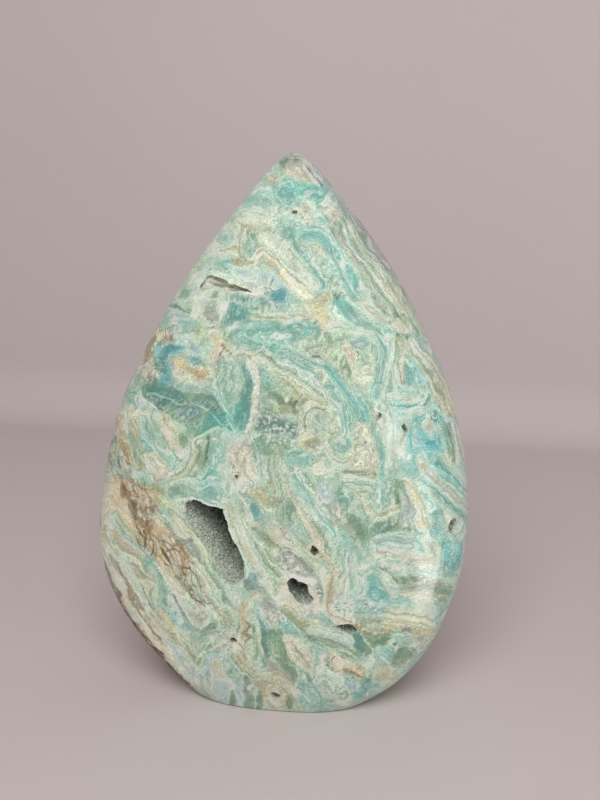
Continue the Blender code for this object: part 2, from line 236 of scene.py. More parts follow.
patch("left_eye_heart", "seafoam", [(222, 232), (228, 232), (229, 239), (223, 241), (219, 238)], 2.2)
ribbon("under_eyes", ["mint", "butter", "olive", "butter", "pale"], 9,
       [(208, 250), (218, 252), (228, 250), (237, 252), (240, 260), (248, 264), (256, 262)])
patch("under_eye_glow", "olive", [(232, 257), (240, 258), (244, 264), (238, 267), (231, 263)], 2)
ribbon("butter_band", ["pale", "butter", "cream", "white", "cream", "butter", "sky"], 12,
       [(254, 260), (262, 254), (270, 259), (280, 269), (288, 279), (300, 290), (314, 298), (330, 296)])
vein("butter_line", "olive", 1.2, [(262, 250), (272, 256), (282, 267), (292, 279), (303, 288)])
patch("butter_corner", "butter", [(280, 276), (288, 282), (287, 286), (279, 281)], 2)

# the turquoise that runs down from the tip
ribbon("upper_turquoise", ["mint", "turquoise", "lagoon", "turquoise", "seafoam"], 20,
       [(278, 224), (290, 230), (303, 234), (315, 232), (325, 238), (333, 251), (343, 268), (352, 284),
        (360, 300)])
patch("upper_turquoise_head", "seafoam", [(278, 222), (296, 220), (304, 228), (300, 236), (288, 236),
      (280, 230)], 3)
ribbon("inner_turquoise", ["mint", "turquoise", "teal", "seafoam", "mint"], 13,
       [(292, 238), (300, 248), (308, 262), (316, 274), (324, 284), (326, 292)])
specks("turquoise_flecks", "pale", 2.4, 0.28, [(300, 240), (326, 250), (342, 280), (330, 292), (308, 268)])
patch("pink_fleck", "pink", [(301, 240), (306, 242), (308, 249), (303, 247)], 1.4)
patch("bone_fleck", "bone", [(314, 246), (320, 249), (327, 254), (325, 258), (320, 257), (317, 252), (313, 250)],
      1.2, "olive", 0.8)
patch("white_fleck", "white", [(330, 260), (335, 262), (334, 265), (330, 264)], 1.2)
vein("long_cream_line", "bone", 4.0, [(325, 226), (330, 238), (335, 248), (343, 260), (351, 271), (358, 282),
     (366, 296), (377, 309), (387, 318)])
patch("brown_crackle", "bone", [(326, 203), (333, 207), (340, 215), (340, 223), (335, 228), (330, 221),
      (327, 212)], 1.8)
specks("brown_crackle_specks", "brown", 1.6, 0.3, [(328, 206), (340, 216), (338, 226), (330, 218)])

# the right flank above the middle
ribbon("right_flank_layers", ["olive", "green", "mint", "grey", "pale", "green", "mint", "green", "bone",
       "green", "seafoam", "slate", "mint", "deep"], 46,
       [(346, 214), (362, 244), (380, 268), (397, 294), (411, 318), (424, 344)])
ribbon("olive_layers", ["pale", "grey", "green", "mint", "grey", "green"], 13,
       [(336, 224), (338, 238), (345, 251), (356, 266), (368, 282), (380, 298), (392, 314)])
vein("flank_line_1", "pale", 1.9, [(346, 217), (350, 226), (353, 236), (358, 244), (366, 251), (370, 256)])
vein("flank_line_2", "white", 1.7, [(341, 244), (348, 252), (356, 259), (364, 265), (370, 275), (377, 285)])
vein("flank_line_3", "pale", 1.6, [(378, 256), (385, 262), (391, 270), (396, 277)])
vein("flank_line_4", "mint", 1.6, [(372, 266), (384, 276), (396, 282), (402, 290)])
patch("flank_bone", "bone", [(374, 277), (381, 283), (388, 290), (396, 302), (404, 312), (400, 313), (391, 303),
      (383, 294), (376, 284)], 1.6)
patch("flank_crackle", "bone", [(390, 320), (400, 322), (409, 328), (412, 336), (404, 336), (396, 333),
      (389, 328)], 2)
specks("flank_crackle_specks", "olive", 1.8, 0.35, [(390, 318), (404, 322), (412, 336), (398, 336)])
patch("flank_teal", "seafoam", [(412, 332), (420, 336), (430, 348), (434, 358), (426, 356), (416, 344)], 2.2)

# the left shoulder and the slit
patch("left_shoulder", "mint", [(206, 256), (222, 256), (232, 262), (228, 270), (212, 273), (200, 284),
      (188, 296), (178, 302), (186, 282), (196, 266)], 3)
specks("left_shoulder_mottle", "seafoam", 3.2, 0.45, [(206, 256), (232, 262), (212, 273), (180, 300),
       (192, 270)])
patch("shoulder_bone", "bone", [(206, 245), (212, 246), (215, 252), (209, 255), (204, 252)], 1.8)
patch("shoulder_teal", "seafoam", [(216, 262), (230, 262), (231, 270), (220, 272)], 2.5)
patch("shoulder_edge_green", "green", [(176, 296), (184, 288), (190, 292), (186, 299), (178, 300)], 2)
patch("sky_patch", "sky", [(228, 266), (246, 268), (260, 272), (274, 275), (285, 284), (293, 292), (284, 293),
      (270, 289), (256, 284), (240, 278), (230, 273)], 2.6)
patch("slit_surround", "pale", [(196, 290), (207, 270), (220, 272), (244, 284), (258, 290), (256, 296),
      (230, 295), (205, 290)], 2)
patch("pink_ridge", "bone", [(236, 279), (246, 283), (258, 287), (268, 295), (266, 298), (254, 296),
      (247, 290), (240, 286)], 1.2)
specks("pink_ridge_white", "white", 1.8, 0.4, [(244, 282), (268, 294), (266, 299), (250, 296)])
patch("blue_patch", "blue", [(277, 291), (287, 289), (288, 297), (286, 304), (274, 306), (262, 304), (254, 301),
      (262, 298), (271, 297)], 2.2)
vein("blue_strand_1", "deep", 1.6, [(271, 279), (271, 286), (275, 292)])
vein("blue_strand_2", "deep", 1.4, [(263, 287), (269, 287), (273, 290)])
patch("fibre_ground", "seafoam", [(225, 297), (240, 295), (256, 300), (288, 304), (284, 313), (262, 313),
      (252, 322), (240, 328), (226, 330), (219, 318), (221, 306)], 2)
fibres("teal_fibres", "deep", 4, [(226, 296), (240, 294), (256, 300), (286, 304), (266, 312), (252, 324),
       (234, 328), (222, 318)], 12, 1.5, 0.62)
fibres("pale_fibres", "pale", 2, [(240, 300), (290, 303), (292, 312), (262, 314), (248, 318)], 9, 1.4, 0.4)
patch("fibre_dark", "teal", [(226, 300), (240, 298), (248, 312), (258, 325), (246, 330), (230, 326)], 7, strength=0.3)

# the pale botryoid left of the fibres
patch("botryoid", "pale", [(200, 297), (208, 290), (221, 292), (226, 300), (224, 312), (220, 322), (216, 329),
      (208, 330), (202, 322), (197, 312), (193, 301)], 2, "cream", 1.8)
patch("botryoid_spot_1", "green", [(210, 292), (216, 290), (219, 295), (215, 299), (210, 297)], 2)
patch("botryoid_spot_2", "grey", [(206, 311), (212, 308), (218, 312), (218, 319), (210, 321), (204, 317)], 1.2,
      "olive", 1.4)
patch("botryoid_cap", "white", [(208, 322), (215, 322), (217, 326), (209, 326)], 1.2)
vein("botryoid_shadow", "slate", 1.6, [(208, 326), (212, 327), (217, 326)])
ribbon("botryoid_edge", ["mint", "cream", "butter", "cream", "pale"], 8,
       [(187, 298), (193, 306), (198, 316), (204, 326), (212, 335)])
vein("shoulder_crack", "deep", 2.0, [(168, 304), (178, 307), (186, 311), (192, 312)])
patch("shoulder_crack_green", "moss", [(184, 309), (192, 309), (193, 313), (186, 313)], 1.5)

# the left block and the blue patch
patch("left_block", "seafoam", [(160, 326), (168, 311), (178, 310), (192, 314), (198, 322), (199, 330),
      (188, 333), (172, 331)], 2.2)
patch("lens_left_green", "mint", [(198, 330), (218, 328), (228, 340), (222, 350), (204, 348)], 3)
patch("edge_crumble", "bone", [(160, 330), (172, 332), (174, 340), (158, 344), (153, 354), (152, 366),
      (152, 377), (146, 381), (141, 372), (142, 360), (148, 346), (154, 334)], 1.8)
specks("edge_crumble_butter", "butter", 3.0, 0.5, [(160, 328), (176, 336), (158, 346), (152, 372), (140, 372)])
specks("edge_crumble_rust", "rust", 1.8, 0.34, [(156, 332), (170, 338), (150, 360), (150, 380), (140, 372)])
vein("edge_rust", "rust", 4.0, [(157, 334), (151, 344), (147, 356), (141, 366)])
patch("blue_left", "lagoon", [(154, 346), (162, 343), (177, 344), (186, 347), (184, 354), (173, 358),
      (171, 367), (173, 377), (178, 383), (172, 388), (160, 388), (152, 386), (150, 378), (156, 373),
      (153, 362)], 1.8)
patch("blue_left_deep", "blue", [(166, 346), (178, 344), (184, 350), (176, 352), (168, 358), (168, 370),
      (172, 382), (166, 384), (163, 372), (158, 362), (160, 350)], 3)
patch("blue_left_dark", "deep", [(153, 364), (159, 366), (166, 371), (165, 376), (158, 375), (153, 370)], 1.8)
patch("blue_left_grey", "slate", [(150, 376), (158, 379), (156, 386), (151, 386)], 1.6)
patch("blue_left_white", "white", [(150, 372), (155, 371), (158, 376), (152, 377)], 1.2)
patch("sky_left", "sky", [(176, 333), (190, 333), (198, 344), (203, 354), (199, 362), (191, 359), (184, 351),
      (186, 344), (176, 341)], 2.6)
patch("blue_nib", "blue", [(189, 358), (195, 360), (198, 365), (193, 365)], 1.6)
specks("green_frogspawn", "green", 2.6, 0.45, [(192, 332), (204, 334), (208, 350), (212, 372), (204, 366),
       (200, 346)])
patch("orange_left", "tan", [(174, 360), (180, 356), (186, 361), (190, 367), (200, 368), (206, 371), (205, 378),
      (198, 380), (188, 377), (184, 372), (176, 368)], 1.6, "cream", 1.8)
patch("orange_heart", "rust", [(194, 372), (200, 371), (203, 375), (197, 377)], 2.2, strength=0.5)
patch("orange_olive", "butter", [(175, 360), (181, 359), (186, 364), (182, 368), (176, 367)], 2)
patch("bone_left", "bone", [(172, 370), (180, 371), (185, 377), (182, 385), (175, 381)], 1.6)
specks("bone_left_specks", "brown", 1.4, 0.3, [(172, 370), (186, 374), (184, 386), (174, 384)])
patch("bone_ledge", "bone", [(194, 378), (206, 380), (212, 380), (208, 385), (198, 384)], 1.4)
specks("bone_ledge_specks", "umber", 1.6, 0.35, [(194, 376), (210, 378), (204, 384), (196, 382)])
patch("pink_column", "pink", [(207, 334), (217, 338), (222, 352), (220, 366), (214, 376), (210, 362),
      (210, 348)], 2.4)
patch("brown_spot", "brown", [(222, 344), (228, 346), (234, 351), (238, 355), (231, 354), (224, 350)], 1.4)
patch("rusty_lip", "tan", [(217, 338), (222, 340), (224, 348), (220, 348)], 1.4)
specks("pink_column_specks", "umber", 1.4, 0.25, [(212, 344), (222, 348), (220, 362), (213, 362)])

# nested arcs and the dark green field
patch("arc_field", "mint", [(215, 366), (221, 356), (230, 356), (239, 366), (241, 384), (237, 398), (230, 408),
      (222, 398), (215, 384)], 2)
vein("arc_inner", "seafoam", 4, [(220, 366), (222, 380), (222, 392)])
vein("arc_middle", "pale", 2, [(224, 357), (233, 364), (236, 376), (234, 390), (229, 400)])
vein("arc_outer", "olive", 2, [(230, 354), (239, 364), (243, 378), (241, 392), (233, 404), (231, 412)])
patch("dark_field", "green", [(150, 388), (176, 385), (200, 384), (214, 390), (228, 410), (237, 432),
      (214, 428), (200, 437), (190, 432), (178, 424), (166, 417), (152, 404), (138, 396)], 3)
patch("dark_field_moss", "deep", [(146, 386), (174, 386), (190, 398), (178, 408), (160, 402), (146, 396)], 8)
patch("dark_field_moss_2", "deep", [(196, 396), (216, 394), (224, 406), (214, 414), (198, 408)], 8, strength=0.8)
patch("dark_field_sky", "sky", [(172, 381), (196, 382), (216, 388), (216, 395), (200, 392), (178, 388)], 3,
      strength=0.6)
patch("dark_eye", "slate", [(176, 404), (186, 402), (196, 407), (196, 417), (186, 422), (177, 416)], 7)
patch("dark_eye_blue", "blue", [(184, 410), (194, 407), (196, 415), (188, 419), (182, 416)], 6, strength=0.6)
fibres("dark_field_streaks", "seafoam", 60, [(160, 392), (200, 400), (226, 424), (200, 430), (164, 408)], 8,
       1.5, 0.3)
patch("dark_teal_left", "deep", [(156, 404), (163, 403), (164, 412), (158, 417), (155, 410)], 5)
patch("teal_left", "seafoam", [(126, 392), (136, 392), (146, 402), (144, 410), (130, 406)], 3)
patch("dark_field_teal", "teal", [(200, 428), (208, 416), (222, 412), (230, 412), (236, 430), (226, 430),
      (214, 427), (202, 434)], 2.6)
patch("teal_column", "teal", [(240, 366), (250, 367), (251, 384), (250, 400), (251, 416), (247, 430), (240, 432),
      (235, 420), (234, 410), (240, 398), (243, 384)], 2.4)
patch("teal_column_dark", "deep", [(243, 386), (249, 384), (249, 402), (244, 410), (238, 412), (241, 398)], 3,
      strength=0.7)
vein("thin_vein_1", "mint", 1.8, [(146, 394), (158, 396), (168, 401), (176, 406), (188, 404)])
vein("thin_vein_2", "sky", 1.8, [(190, 402), (202, 410), (214, 418), (226, 428), (232, 432)])
vein("white_vein", "white", 2.4, [(213, 376), (216, 388), (220, 398), (227, 409), (231, 422), (236, 433)])
vein("moss_line", "moss", 1.4, [(200, 406), (212, 410), (224, 412), (229, 410)])
vein("thin_vein_3", "white", 2.0, [(141, 396), (147, 403), (153, 408), (156, 414)])
vein("lobe_top", "pale", 2.0, [(196, 438), (203, 433), (212, 430), (222, 431), (232, 436), (240, 441)])

# the left edge
patch("left_bone_stripe", "bone", [(121, 404), (132, 407), (144, 410), (152, 412), (152, 420), (144, 416),
      (138, 426), (130, 425), (123, 414)], 2)
patch("edge_tan", "tan", [(118, 414), (124, 424), (126, 438), (120, 441), (113, 436), (114, 424)], 2)
specks("edge_tan_brown", "rust", 2.2, 0.4, [(116, 412), (126, 430), (120, 442), (111, 434)])
ribbon("left_stripes", ["butter", "olive", "pale", "mint", "lagoon", "seafoam", "mint", "olive", "tan",
       "green"], 44, [(146, 412), (150, 428), (158, 442), (168, 456), (176, 470)])
patch("tan_patch", "tan", [(116, 441), (122, 438), (128, 443), (131, 455), (129, 467), (123, 461), (118, 450)],
      1.6, "cream", 1.6)
vein("left_olive", "olive", 4.5, [(128, 426), (132, 440), (135, 454), (138, 466)])
patch("left_lagoon", "lagoon", [(141, 437), (148, 440), (156, 450), (152, 454), (144, 449)], 2.4)
patch("olive_knob", "olive", [(135, 460), (141, 457), (145, 463), (142, 470), (136, 468)], 2)
patch("pink_scatter", "bone", [(140, 456), (150, 456), (160, 466), (166, 478), (158, 482), (148, 470)], 3)
patch("pink_strip", "bone", [(160, 436), (168, 435), (175, 441), (180, 451), (176, 456), (169, 448)], 1.8)
specks("pink_strip_specks", "green", 1.8, 0.3, [(160, 436), (180, 440), (184, 456), (168, 450)])
patch("green_pool", "green", [(176, 436), (186, 434), (190, 446), (184, 452), (177, 446)], 2.4)
patch("dark_edge", "deep", [(109, 437), (114, 440), (116, 452), (120, 461), (125, 471), (130, 480), (124, 480),
      (117, 471), (110, 458)], 1.8)
specks("dark_edge_specks", "white", 1.6, 0.3, [(108, 440), (116, 456), (128, 478), (112, 466)])
patch("dark_edge_white", "white", [(111, 466), (117, 469), (123, 475), (118, 476), (112, 471)], 1.4)
# painted shade: a black spot for the dark inside a small hole, with a white crystal in it
patch("dark_edge_hole", "black", [(122, 473), (126, 474), (127, 480), (123, 480)], 1.0)
patch("dark_edge_crystal", "white", [(125, 476), (128, 477), (127, 480), (124, 479)], 0.8)
vein("edge_olive", "olive", 5, [(106, 458), (108, 470), (114, 479), (118, 488)])
patch("edge_pink", "pink", [(107, 477), (112, 482), (111, 494), (104, 502), (99, 516), (98, 505), (102, 492)], 2)

# the wrinkled tan zone on the left
patch("wrinkle_ground", "sand", [(110, 484), (134, 478), (156, 490), (166, 520), (186, 548), (196, 576),
      (206, 600), (196, 604), (176, 580), (150, 560), (132, 530), (112, 504)], 4)
patch("tan_field", "sand", [(108, 499), (121, 496), (130, 506), (135, 520), (142, 536), (145, 549), (138, 545),
      (130, 528), (120, 514), (106, 507)], 2.2)
patch("tan_field_2", "sand", [(128, 481), (138, 481), (144, 487), (138, 492), (130, 489)], 1.8)
patch("left_lobe", "grey", [(106, 508), (114, 510), (122, 517), (130, 529), (136, 541), (146, 552), (154, 562),
      (144, 562), (128, 554), (116, 541), (107, 530), (102, 519)], 2)
ribbon("left_lobe_layers", ["olive", "pale", "seafoam", "grey", "seafoam", "pale"], 17,
       [(108, 512), (115, 524), (124, 536), (136, 548), (150, 560), (164, 574)])
ribbon("left_rim_layers", ["bone", "grey", "cream", "olive", "pale"], 10,
       [(107, 498), (102, 512), (101, 530), (103, 546), (109, 562), (117, 578)])
ribbon("lower_left_layers", ["pale", "tan", "olive", "cream", "mint", "olive", "pale"], 22,
       [(106, 528), (111, 542), (120, 551), (131, 560), (144, 572), (158, 588)])
patch("grey_blue_nib", "seafoam", [(136, 472), (143, 472), (149, 482), (150, 488), (142, 484), (137, 479)], 2)
patch("olive_bank", "olive", [(150, 482), (160, 484), (168, 493), (162, 496), (152, 488)], 2.2)
patch("cream_bank", "cream", [(154, 488), (160, 492), (166, 500), (162, 504), (157, 498)], 1.6)
vein("teal_runnel", "slate", 8, [(158, 506), (162, 515), (168, 524), (174, 533), (184, 542), (190, 548)])
vein("teal_runnel_light", "seafoam", 3, [(159, 510), (163, 517), (166, 523)])
patch("wrinkle_1", "rust", [(119, 485), (126, 484), (130, 492), (132, 498), (126, 499), (120, 494)], 1.6)
patch("wrinkle_2", "brown", [(127, 500), (134, 499), (139, 508), (139, 519), (133, 519), (129, 510)], 1.4)
patch("wrinkle_3", "rust", [(138, 519), (149, 517), (155, 526), (150, 534), (144, 535), (139, 529)], 1.4)
patch("wrinkle_olive", "rust", [(151, 500), (157, 499), (159, 507), (155, 513), (151, 507)], 1.4, "olive", 1.5)
vein("wrinkle_line_1", "brown", 2.6, [(142, 530), (144, 538), (144, 546), (144, 551)])
vein("wrinkle_line_2", "brown", 2.4, [(150, 533), (151, 542), (152, 550), (150, 557)])
vein("wrinkle_line_3", "rust", 2.2, [(151, 530), (158, 537), (165, 542), (172, 546)])
vein("wrinkle_line_4", "rust", 2.0, [(130, 496), (138, 496), (146, 494), (153, 498), (157, 504)])
vein("wrinkle_line_5", "brown", 1.8, [(133, 519), (136, 528), (140, 536), (144, 543)])
vein("wrinkle_slit", "umber", 3.0, [(160, 546), (165, 552), (170, 558), (174, 564)])
vein("wrinkle_line_6", "brown", 1.6, [(122, 482), (126, 489), (130, 494)])
vein("rust_band", "rust", 5.5, [(168, 545), (177, 547), (184, 555), (186, 566), (190, 578), (197, 588)])
vein("rust_band_core", "olive", 2.0, [(172, 546), (180, 551), (184, 560), (188, 572)])
patch("wrinkle_bone_1", "bone", [(137, 500), (145, 505), (152, 514), (149, 520), (142, 515), (138, 508)], 1.6)
patch("wrinkle_bone_2", "pink", [(172, 552), (180, 556), (183, 566), (178, 572), (172, 562)], 1.8)
patch("wrinkle_bone_3", "tan", [(150, 538), (158, 546), (166, 558), (174, 570), (168, 574), (158, 562),
      (151, 550)], 1.8)
crackle("wrinkle_net", [(118, 480), (140, 479), (156, 486), (162, 500), (156, 514), (158, 530), (178, 540),
        (190, 556), (200, 580), (212, 602), (202, 606), (186, 590), (168, 570), (150, 556), (138, 548),
        (134, 528), (126, 508)])
crackle("rust_net", [(106, 440), (132, 446), (130, 480), (114, 484)], 0.7)
crackle("edge_net", [(150, 326), (178, 332), (156, 380), (138, 384)], 0.7)
specks("wrinkle_specks", "umber", 1.3, 0.2, [(126, 484), (150, 500), (160, 540), (150, 556), (134, 520)])

# round the large pocket
patch("lobe_ground", "mint", [(182, 450), (196, 438), (222, 432), (226, 452), (218, 474), (200, 488),
      (176, 486), (170, 474)], 3)
ribbon("olive_arc", ["mint", "olive", "mint", "olive", "pale"], 17,
       [(192, 438), (195, 452), (190, 466), (181, 477), (168, 483)])
vein("green_lobe", "green", 9, [(206, 436), (208, 448), (204, 461), (197, 472), (190, 481)])
vein("green_lobe_heart", "moss", 4, [(206, 437), (208, 446), (206, 456)])
vein("turquoise_lobe", "seafoam", 10, [(217, 440), (216, 454), (210, 467), (202, 478), (197, 486)])
vein("sky_lobe", "sky", 4, [(220, 446), (218, 460), (210, 472)])
ribbon("shelf_above_pocket", ["pale", "seafoam", "green", "seafoam", "turquoise", "pale"], 20,
       [(168, 492), (182, 490), (198, 491), (212, 495), (224, 502)])
patch("shelf_teal", "teal", [(204, 490), (213, 484), (220, 490), (219, 500), (211, 499)], 2.6)
patch("shelf_green", "green", [(168, 488), (184, 486), (186, 494), (172, 496)], 3)
vein("pocket_lip_top", "white", 2.0, [(172, 501), (185, 498), (195, 498), (205, 502), (214, 505), (223, 507)])
vein("pocket_lip_right", "white", 2.2, [(222, 506), (225, 514), (229, 526), (236, 543), (244, 558), (246, 568),
     (245, 578)])
patch("pocket_left_pale", "pale", [(178, 502), (186, 500), (186, 516), (190, 528), (182, 524), (178, 512)], 2)
fibres("pocket_left_ribs", "green", 60, [(176, 504), (186, 503), (188, 528), (178, 524)], 6, 1.6, 0.4)
vein("cream_bend", "butter", 6, [(169, 500), (172, 512), (175, 524), (182, 532), (191, 537), (198, 544),
     (202, 554), (206, 564), (214, 574)])
vein("cream_bend_light", "cream", 2.4, [(176, 527), (186, 533), (195, 540), (201, 550), (206, 562), (216, 574)])
vein("slope_green", "green", 5, [(188, 530), (197, 540), (206, 551), (213, 563), (219, 575)])
patch("grey_green_pool", "grey", [(186, 546), (194, 545), (199, 554), (197, 561), (189, 556)], 2.4)
patch("bone_chip", "bone", [(187, 561), (194, 560), (198, 566), (192, 568)], 1.6)
specks("bone_chip_specks", "umber", 1.3, 0.25, [(186, 558), (198, 560), (196, 570), (188, 568)])

# the lens and the stripes below it
ribbon("arc_over_lens", ["pale", "butter", "olive", "cream", "teal"], 10,
       [(248, 315), (264, 317), (282, 317), (300, 314), (314, 316), (323, 323), (328, 334)])
patch("lens", "turquoise", [(229, 332), (240, 323), (262, 322), (290, 321), (313, 321), (321, 330), (316, 341),
      (302, 349), (272, 351), (248, 348), (233, 343)], 2.2)
patch("lens_core", "mint", [(240, 336), (262, 332), (286, 333), (292, 339), (278, 345), (248, 345)], 7,
      strength=0.35)
patch("lens_left", "seafoam", [(232, 330), (246, 326), (250, 340), (240, 345), (233, 340)], 6)
patch("lens_right", "teal", [(290, 324), (302, 326), (306, 336), (298, 344), (290, 336)], 6, strength=0.5)
specks("lens_mottle", "mint", 2.6, 0.4, [(288, 320), (318, 324), (316, 342), (294, 348)])
patch("fork", "butter", [(313, 300), (331, 297), (333, 307), (326, 316), (330, 330), (325, 334), (321, 320),
      (313, 310), (302, 308)], 2, "butter", 2, 0.8)
specks("fork_specks", "olive", 1.8, 0.3, [(304, 302), (330, 300), (328, 330), (318, 314)])

# the turquoise finger
patch("finger", "turquoise", [(332, 299), (341, 296), (350, 303), (362, 310), (374, 319), (388, 326),
      (394, 334), (390, 342), (384, 338), (376, 332), (362, 330), (348, 325), (338, 317), (332, 308)], 1.8,
      "pale", 2.6)
vein("finger_core", "teal", 4, [(345, 302), (352, 312), (362, 319), (374, 326), (386, 335)], 2)
vein("finger_cream", "cream", 3, [(330, 299), (328, 308), (334, 319), (345, 328), (358, 334), (372, 336)])
vein("finger_cream_in", "white", 2, [(333, 304), (335, 313), (342, 321), (352, 326)])
fibres("finger_fringe", "dark", 30, [(331, 295), (344, 292), (346, 297), (333, 300)], 5, 1.5, 0.6)
vein("finger_top", "pale", 2.2, [(350, 304), (360, 309), (371, 316), (384, 324)])
patch("pink_wedge", "pink", [(361, 293), (371, 302), (383, 312), (389, 319), (386, 324), (374, 318),
      (364, 309)], 2)
specks("pink_wedge_pale", "pale", 2.6, 0.4, [(361, 293), (389, 318), (384, 324), (362, 308)])

# mottled green and cream field in the middle
patch("mottle_field", "mint", [(290, 345), (306, 342), (320, 338), (334, 329), (372, 338), (368, 350),
      (372, 370), (366, 384), (350, 389), (340, 384), (332, 372), (326, 362), (306, 357), (294, 352)], 2.5)
specks("mottle_cream", "cream", 3.4, 0.5, [(290, 345), (334, 330), (372, 340), (368, 384), (340, 386),
       (318, 358)])
specks("mottle_green", "green", 2.6, 0.42, [(296, 344), (336, 330), (352, 350), (350, 384), (334, 374),
       (316, 356)])
specks("mottle_tan", "tan", 2.4, 0.3, [(306, 344), (330, 340), (350, 376), (346, 388), (322, 358)])
patch("green_drop", "green", [(322, 332), (330, 334), (331, 344), (324, 342)], 2)
patch("dark_nick", "dark", [(313, 356), (319, 353), (320, 357), (315, 359)], 1.2)
fibres("moss_column", "moss", 4, [(336, 346), (344, 344), (350, 366), (350, 382), (340, 376)], 7, 2.0, 0.5)
patch("cream_cloud", "cream", [(344, 338), (356, 350), (352, 362), (358, 374), (368, 378), (376, 366),
      (374, 380), (362, 384), (352, 376), (346, 360)], 2.5)
patch("pink_cloud", "pink", [(344, 346), (352, 348), (356, 360), (350, 364), (345, 356)], 2.5)
patch("sky_cloud", "sky", [(350, 340), (360, 338), (366, 346), (360, 352), (352, 347)], 2.2)
vein("cloud_hook", "dark", 1.1, [(354, 354), (357, 352), (360, 354), (357, 358)])
patch("butter_cloud", "cream", [(360, 366), (366, 366), (368, 374), (362, 375)], 2)
patch("green_sliver", "green", [(368, 340), (371, 346), (370, 356), (367, 352)], 1.6)

# long stripes that run from the lens to the lower right
ribbon("olive_ribbon", ["mint", "olive", "butter", "cream", "olive", "mint"], 10,
       [(234, 353), (246, 352), (256, 356), (264, 366), (272, 376), (282, 384), (293, 387), (300, 396)])
ribbon("pale_stripes", ["mint", "pale", "green", "pale", "cream", "mint", "pale", "bone"], 20,
       [(254, 352), (268, 360), (282, 369), (298, 380), (314, 392), (328, 402)])
ribbon("turquoise_stripes", ["pale", "seafoam", "turquoise", "pale", "teal", "seafoam", "turquoise", "pale"],
       22, [(276, 350), (292, 355), (306, 364), (320, 373), (332, 386), (342, 400), (348, 416), (352, 432)])
ribbon("blue_stripes", ["turquoise", "lagoon", "turquoise", "seafoam"], 17,
       [(322, 362), (331, 374), (342, 388), (352, 400), (360, 414), (362, 424)])
patch("pink_island", "pink", [(313, 369), (320, 371), (324, 377), (322, 385), (318, 380)], 1.4, "pale", 1.6)
patch("mint_island", "pale", [(322, 391), (329, 389), (331, 394), (326, 397)], 1.6)
vein("blue_vein", "pale", 1.6, [(351, 392), (352, 400), (358, 408), (360, 414)])

# green pool and the torn edge beside it
patch("green_pool_large", "green", [(256, 388), (266, 384), (280, 392), (291, 400), (298, 408), (295, 415),
      (280, 413), (266, 415), (257, 409), (257, 398)], 2.2)
patch("green_pool_mint", "mint", [(258, 392), (268, 392), (274, 402), (266, 410), (258, 404)], 4, strength=0.6)
patch("green_pool_dark", "moss", [(276, 390), (288, 396), (300, 402), (302, 408), (290, 405), (280, 402)], 2.2)
patch("green_pool_olive", "olive", [(280, 404), (292, 406), (294, 413), (284, 412)], 2.6)
patch("torn_teal", "seafoam", [(257, 366), (264, 366), (272, 376), (278, 386), (268, 386), (260, 380)], 2)
specks("torn_teal_dark", "deep", 2.2, 0.4, [(256, 366), (268, 368), (278, 386), (264, 386)])
ribbon("torn_edge", ["bone", "white", "bone", "pale"], 7,
       [(249, 358), (253, 370), (256, 384), (254, 398), (252, 412), (248, 428), (242, 440)])
fibres("torn_edge_teeth", "white", 75, [(247, 360), (254, 366), (258, 386), (256, 404), (250, 430),
       (246, 424), (251, 400), (250, 380)], 6, 1.5, 0.5)
vein("flake_line", "pink", 4, [(268, 384), (276, 390), (284, 394), (294, 396), (300, 400)])
patch("white_flake", "white", [(282, 395), (288, 396), (291, 400), (285, 401)], 1.0)
specks("flake_specks", "umber", 1.6, 0.35, [(278, 388), (294, 392), (300, 402), (284, 398)])
patch("dark_mottle", "deep", [(256, 420), (270, 414), (284, 420), (296, 424), (298, 436), (292, 440),
      (284, 434), (268, 432), (257, 432)], 8, strength=0.9)
specks("dark_mottle_deep", "deep", 2.4, 0.45, [(256, 414), (284, 418), (300, 430), (292, 442), (260, 434)])
specks("dark_mottle_white", "white", 1.6, 0.34, [(256, 414), (284, 418), (300, 430), (292, 444), (258, 440)])
patch("green_pool_low", "green", [(254, 440), (264, 435), (280, 437), (290, 446), (286, 456), (262, 455)], 2.6)
specks("pool_white", "bone", 2.2, 0.35, [(252, 404), (262, 408), (290, 416), (262, 420), (250, 418)])

# the curl
patch("curl_ground", "cream", [(298, 402), (312, 399), (326, 404), (334, 416), (336, 436), (328, 448),
      (310, 452), (296, 446), (298, 428)], 2.2)
specks("curl_tan", "tan", 2.4, 0.4, [(298, 402), (322, 400), (336, 430), (320, 450), (300, 446)])
specks("curl_green", "green", 2.2, 0.4, [(300, 404), (330, 408), (334, 440), (306, 448)])
patch("curl_inside", "mint", [(304, 426), (310, 415), (322, 414), (330, 424), (326, 434), (312, 436)], 2.4)
specks("curl_inside_bone", "bone", 2.6, 0.5, [(306, 424), (322, 414), (330, 428), (314, 436)])
vein("curl_green_line", "green", 2.4, [(301, 434), (301, 424), (305, 415), (313, 410), (322, 410), (328, 414)])
vein("curl_pale_line", "pale", 1.8, [(305, 434), (305, 425), (309, 417), (316, 413)])
vein("curl_outer_line", "pale", 1.8, [(297, 434), (297, 422), (302, 411), (311, 405)])
patch("curl_olive", "olive", [(306, 440), (318, 436), (324, 444), (314, 450), (306, 448)], 3)

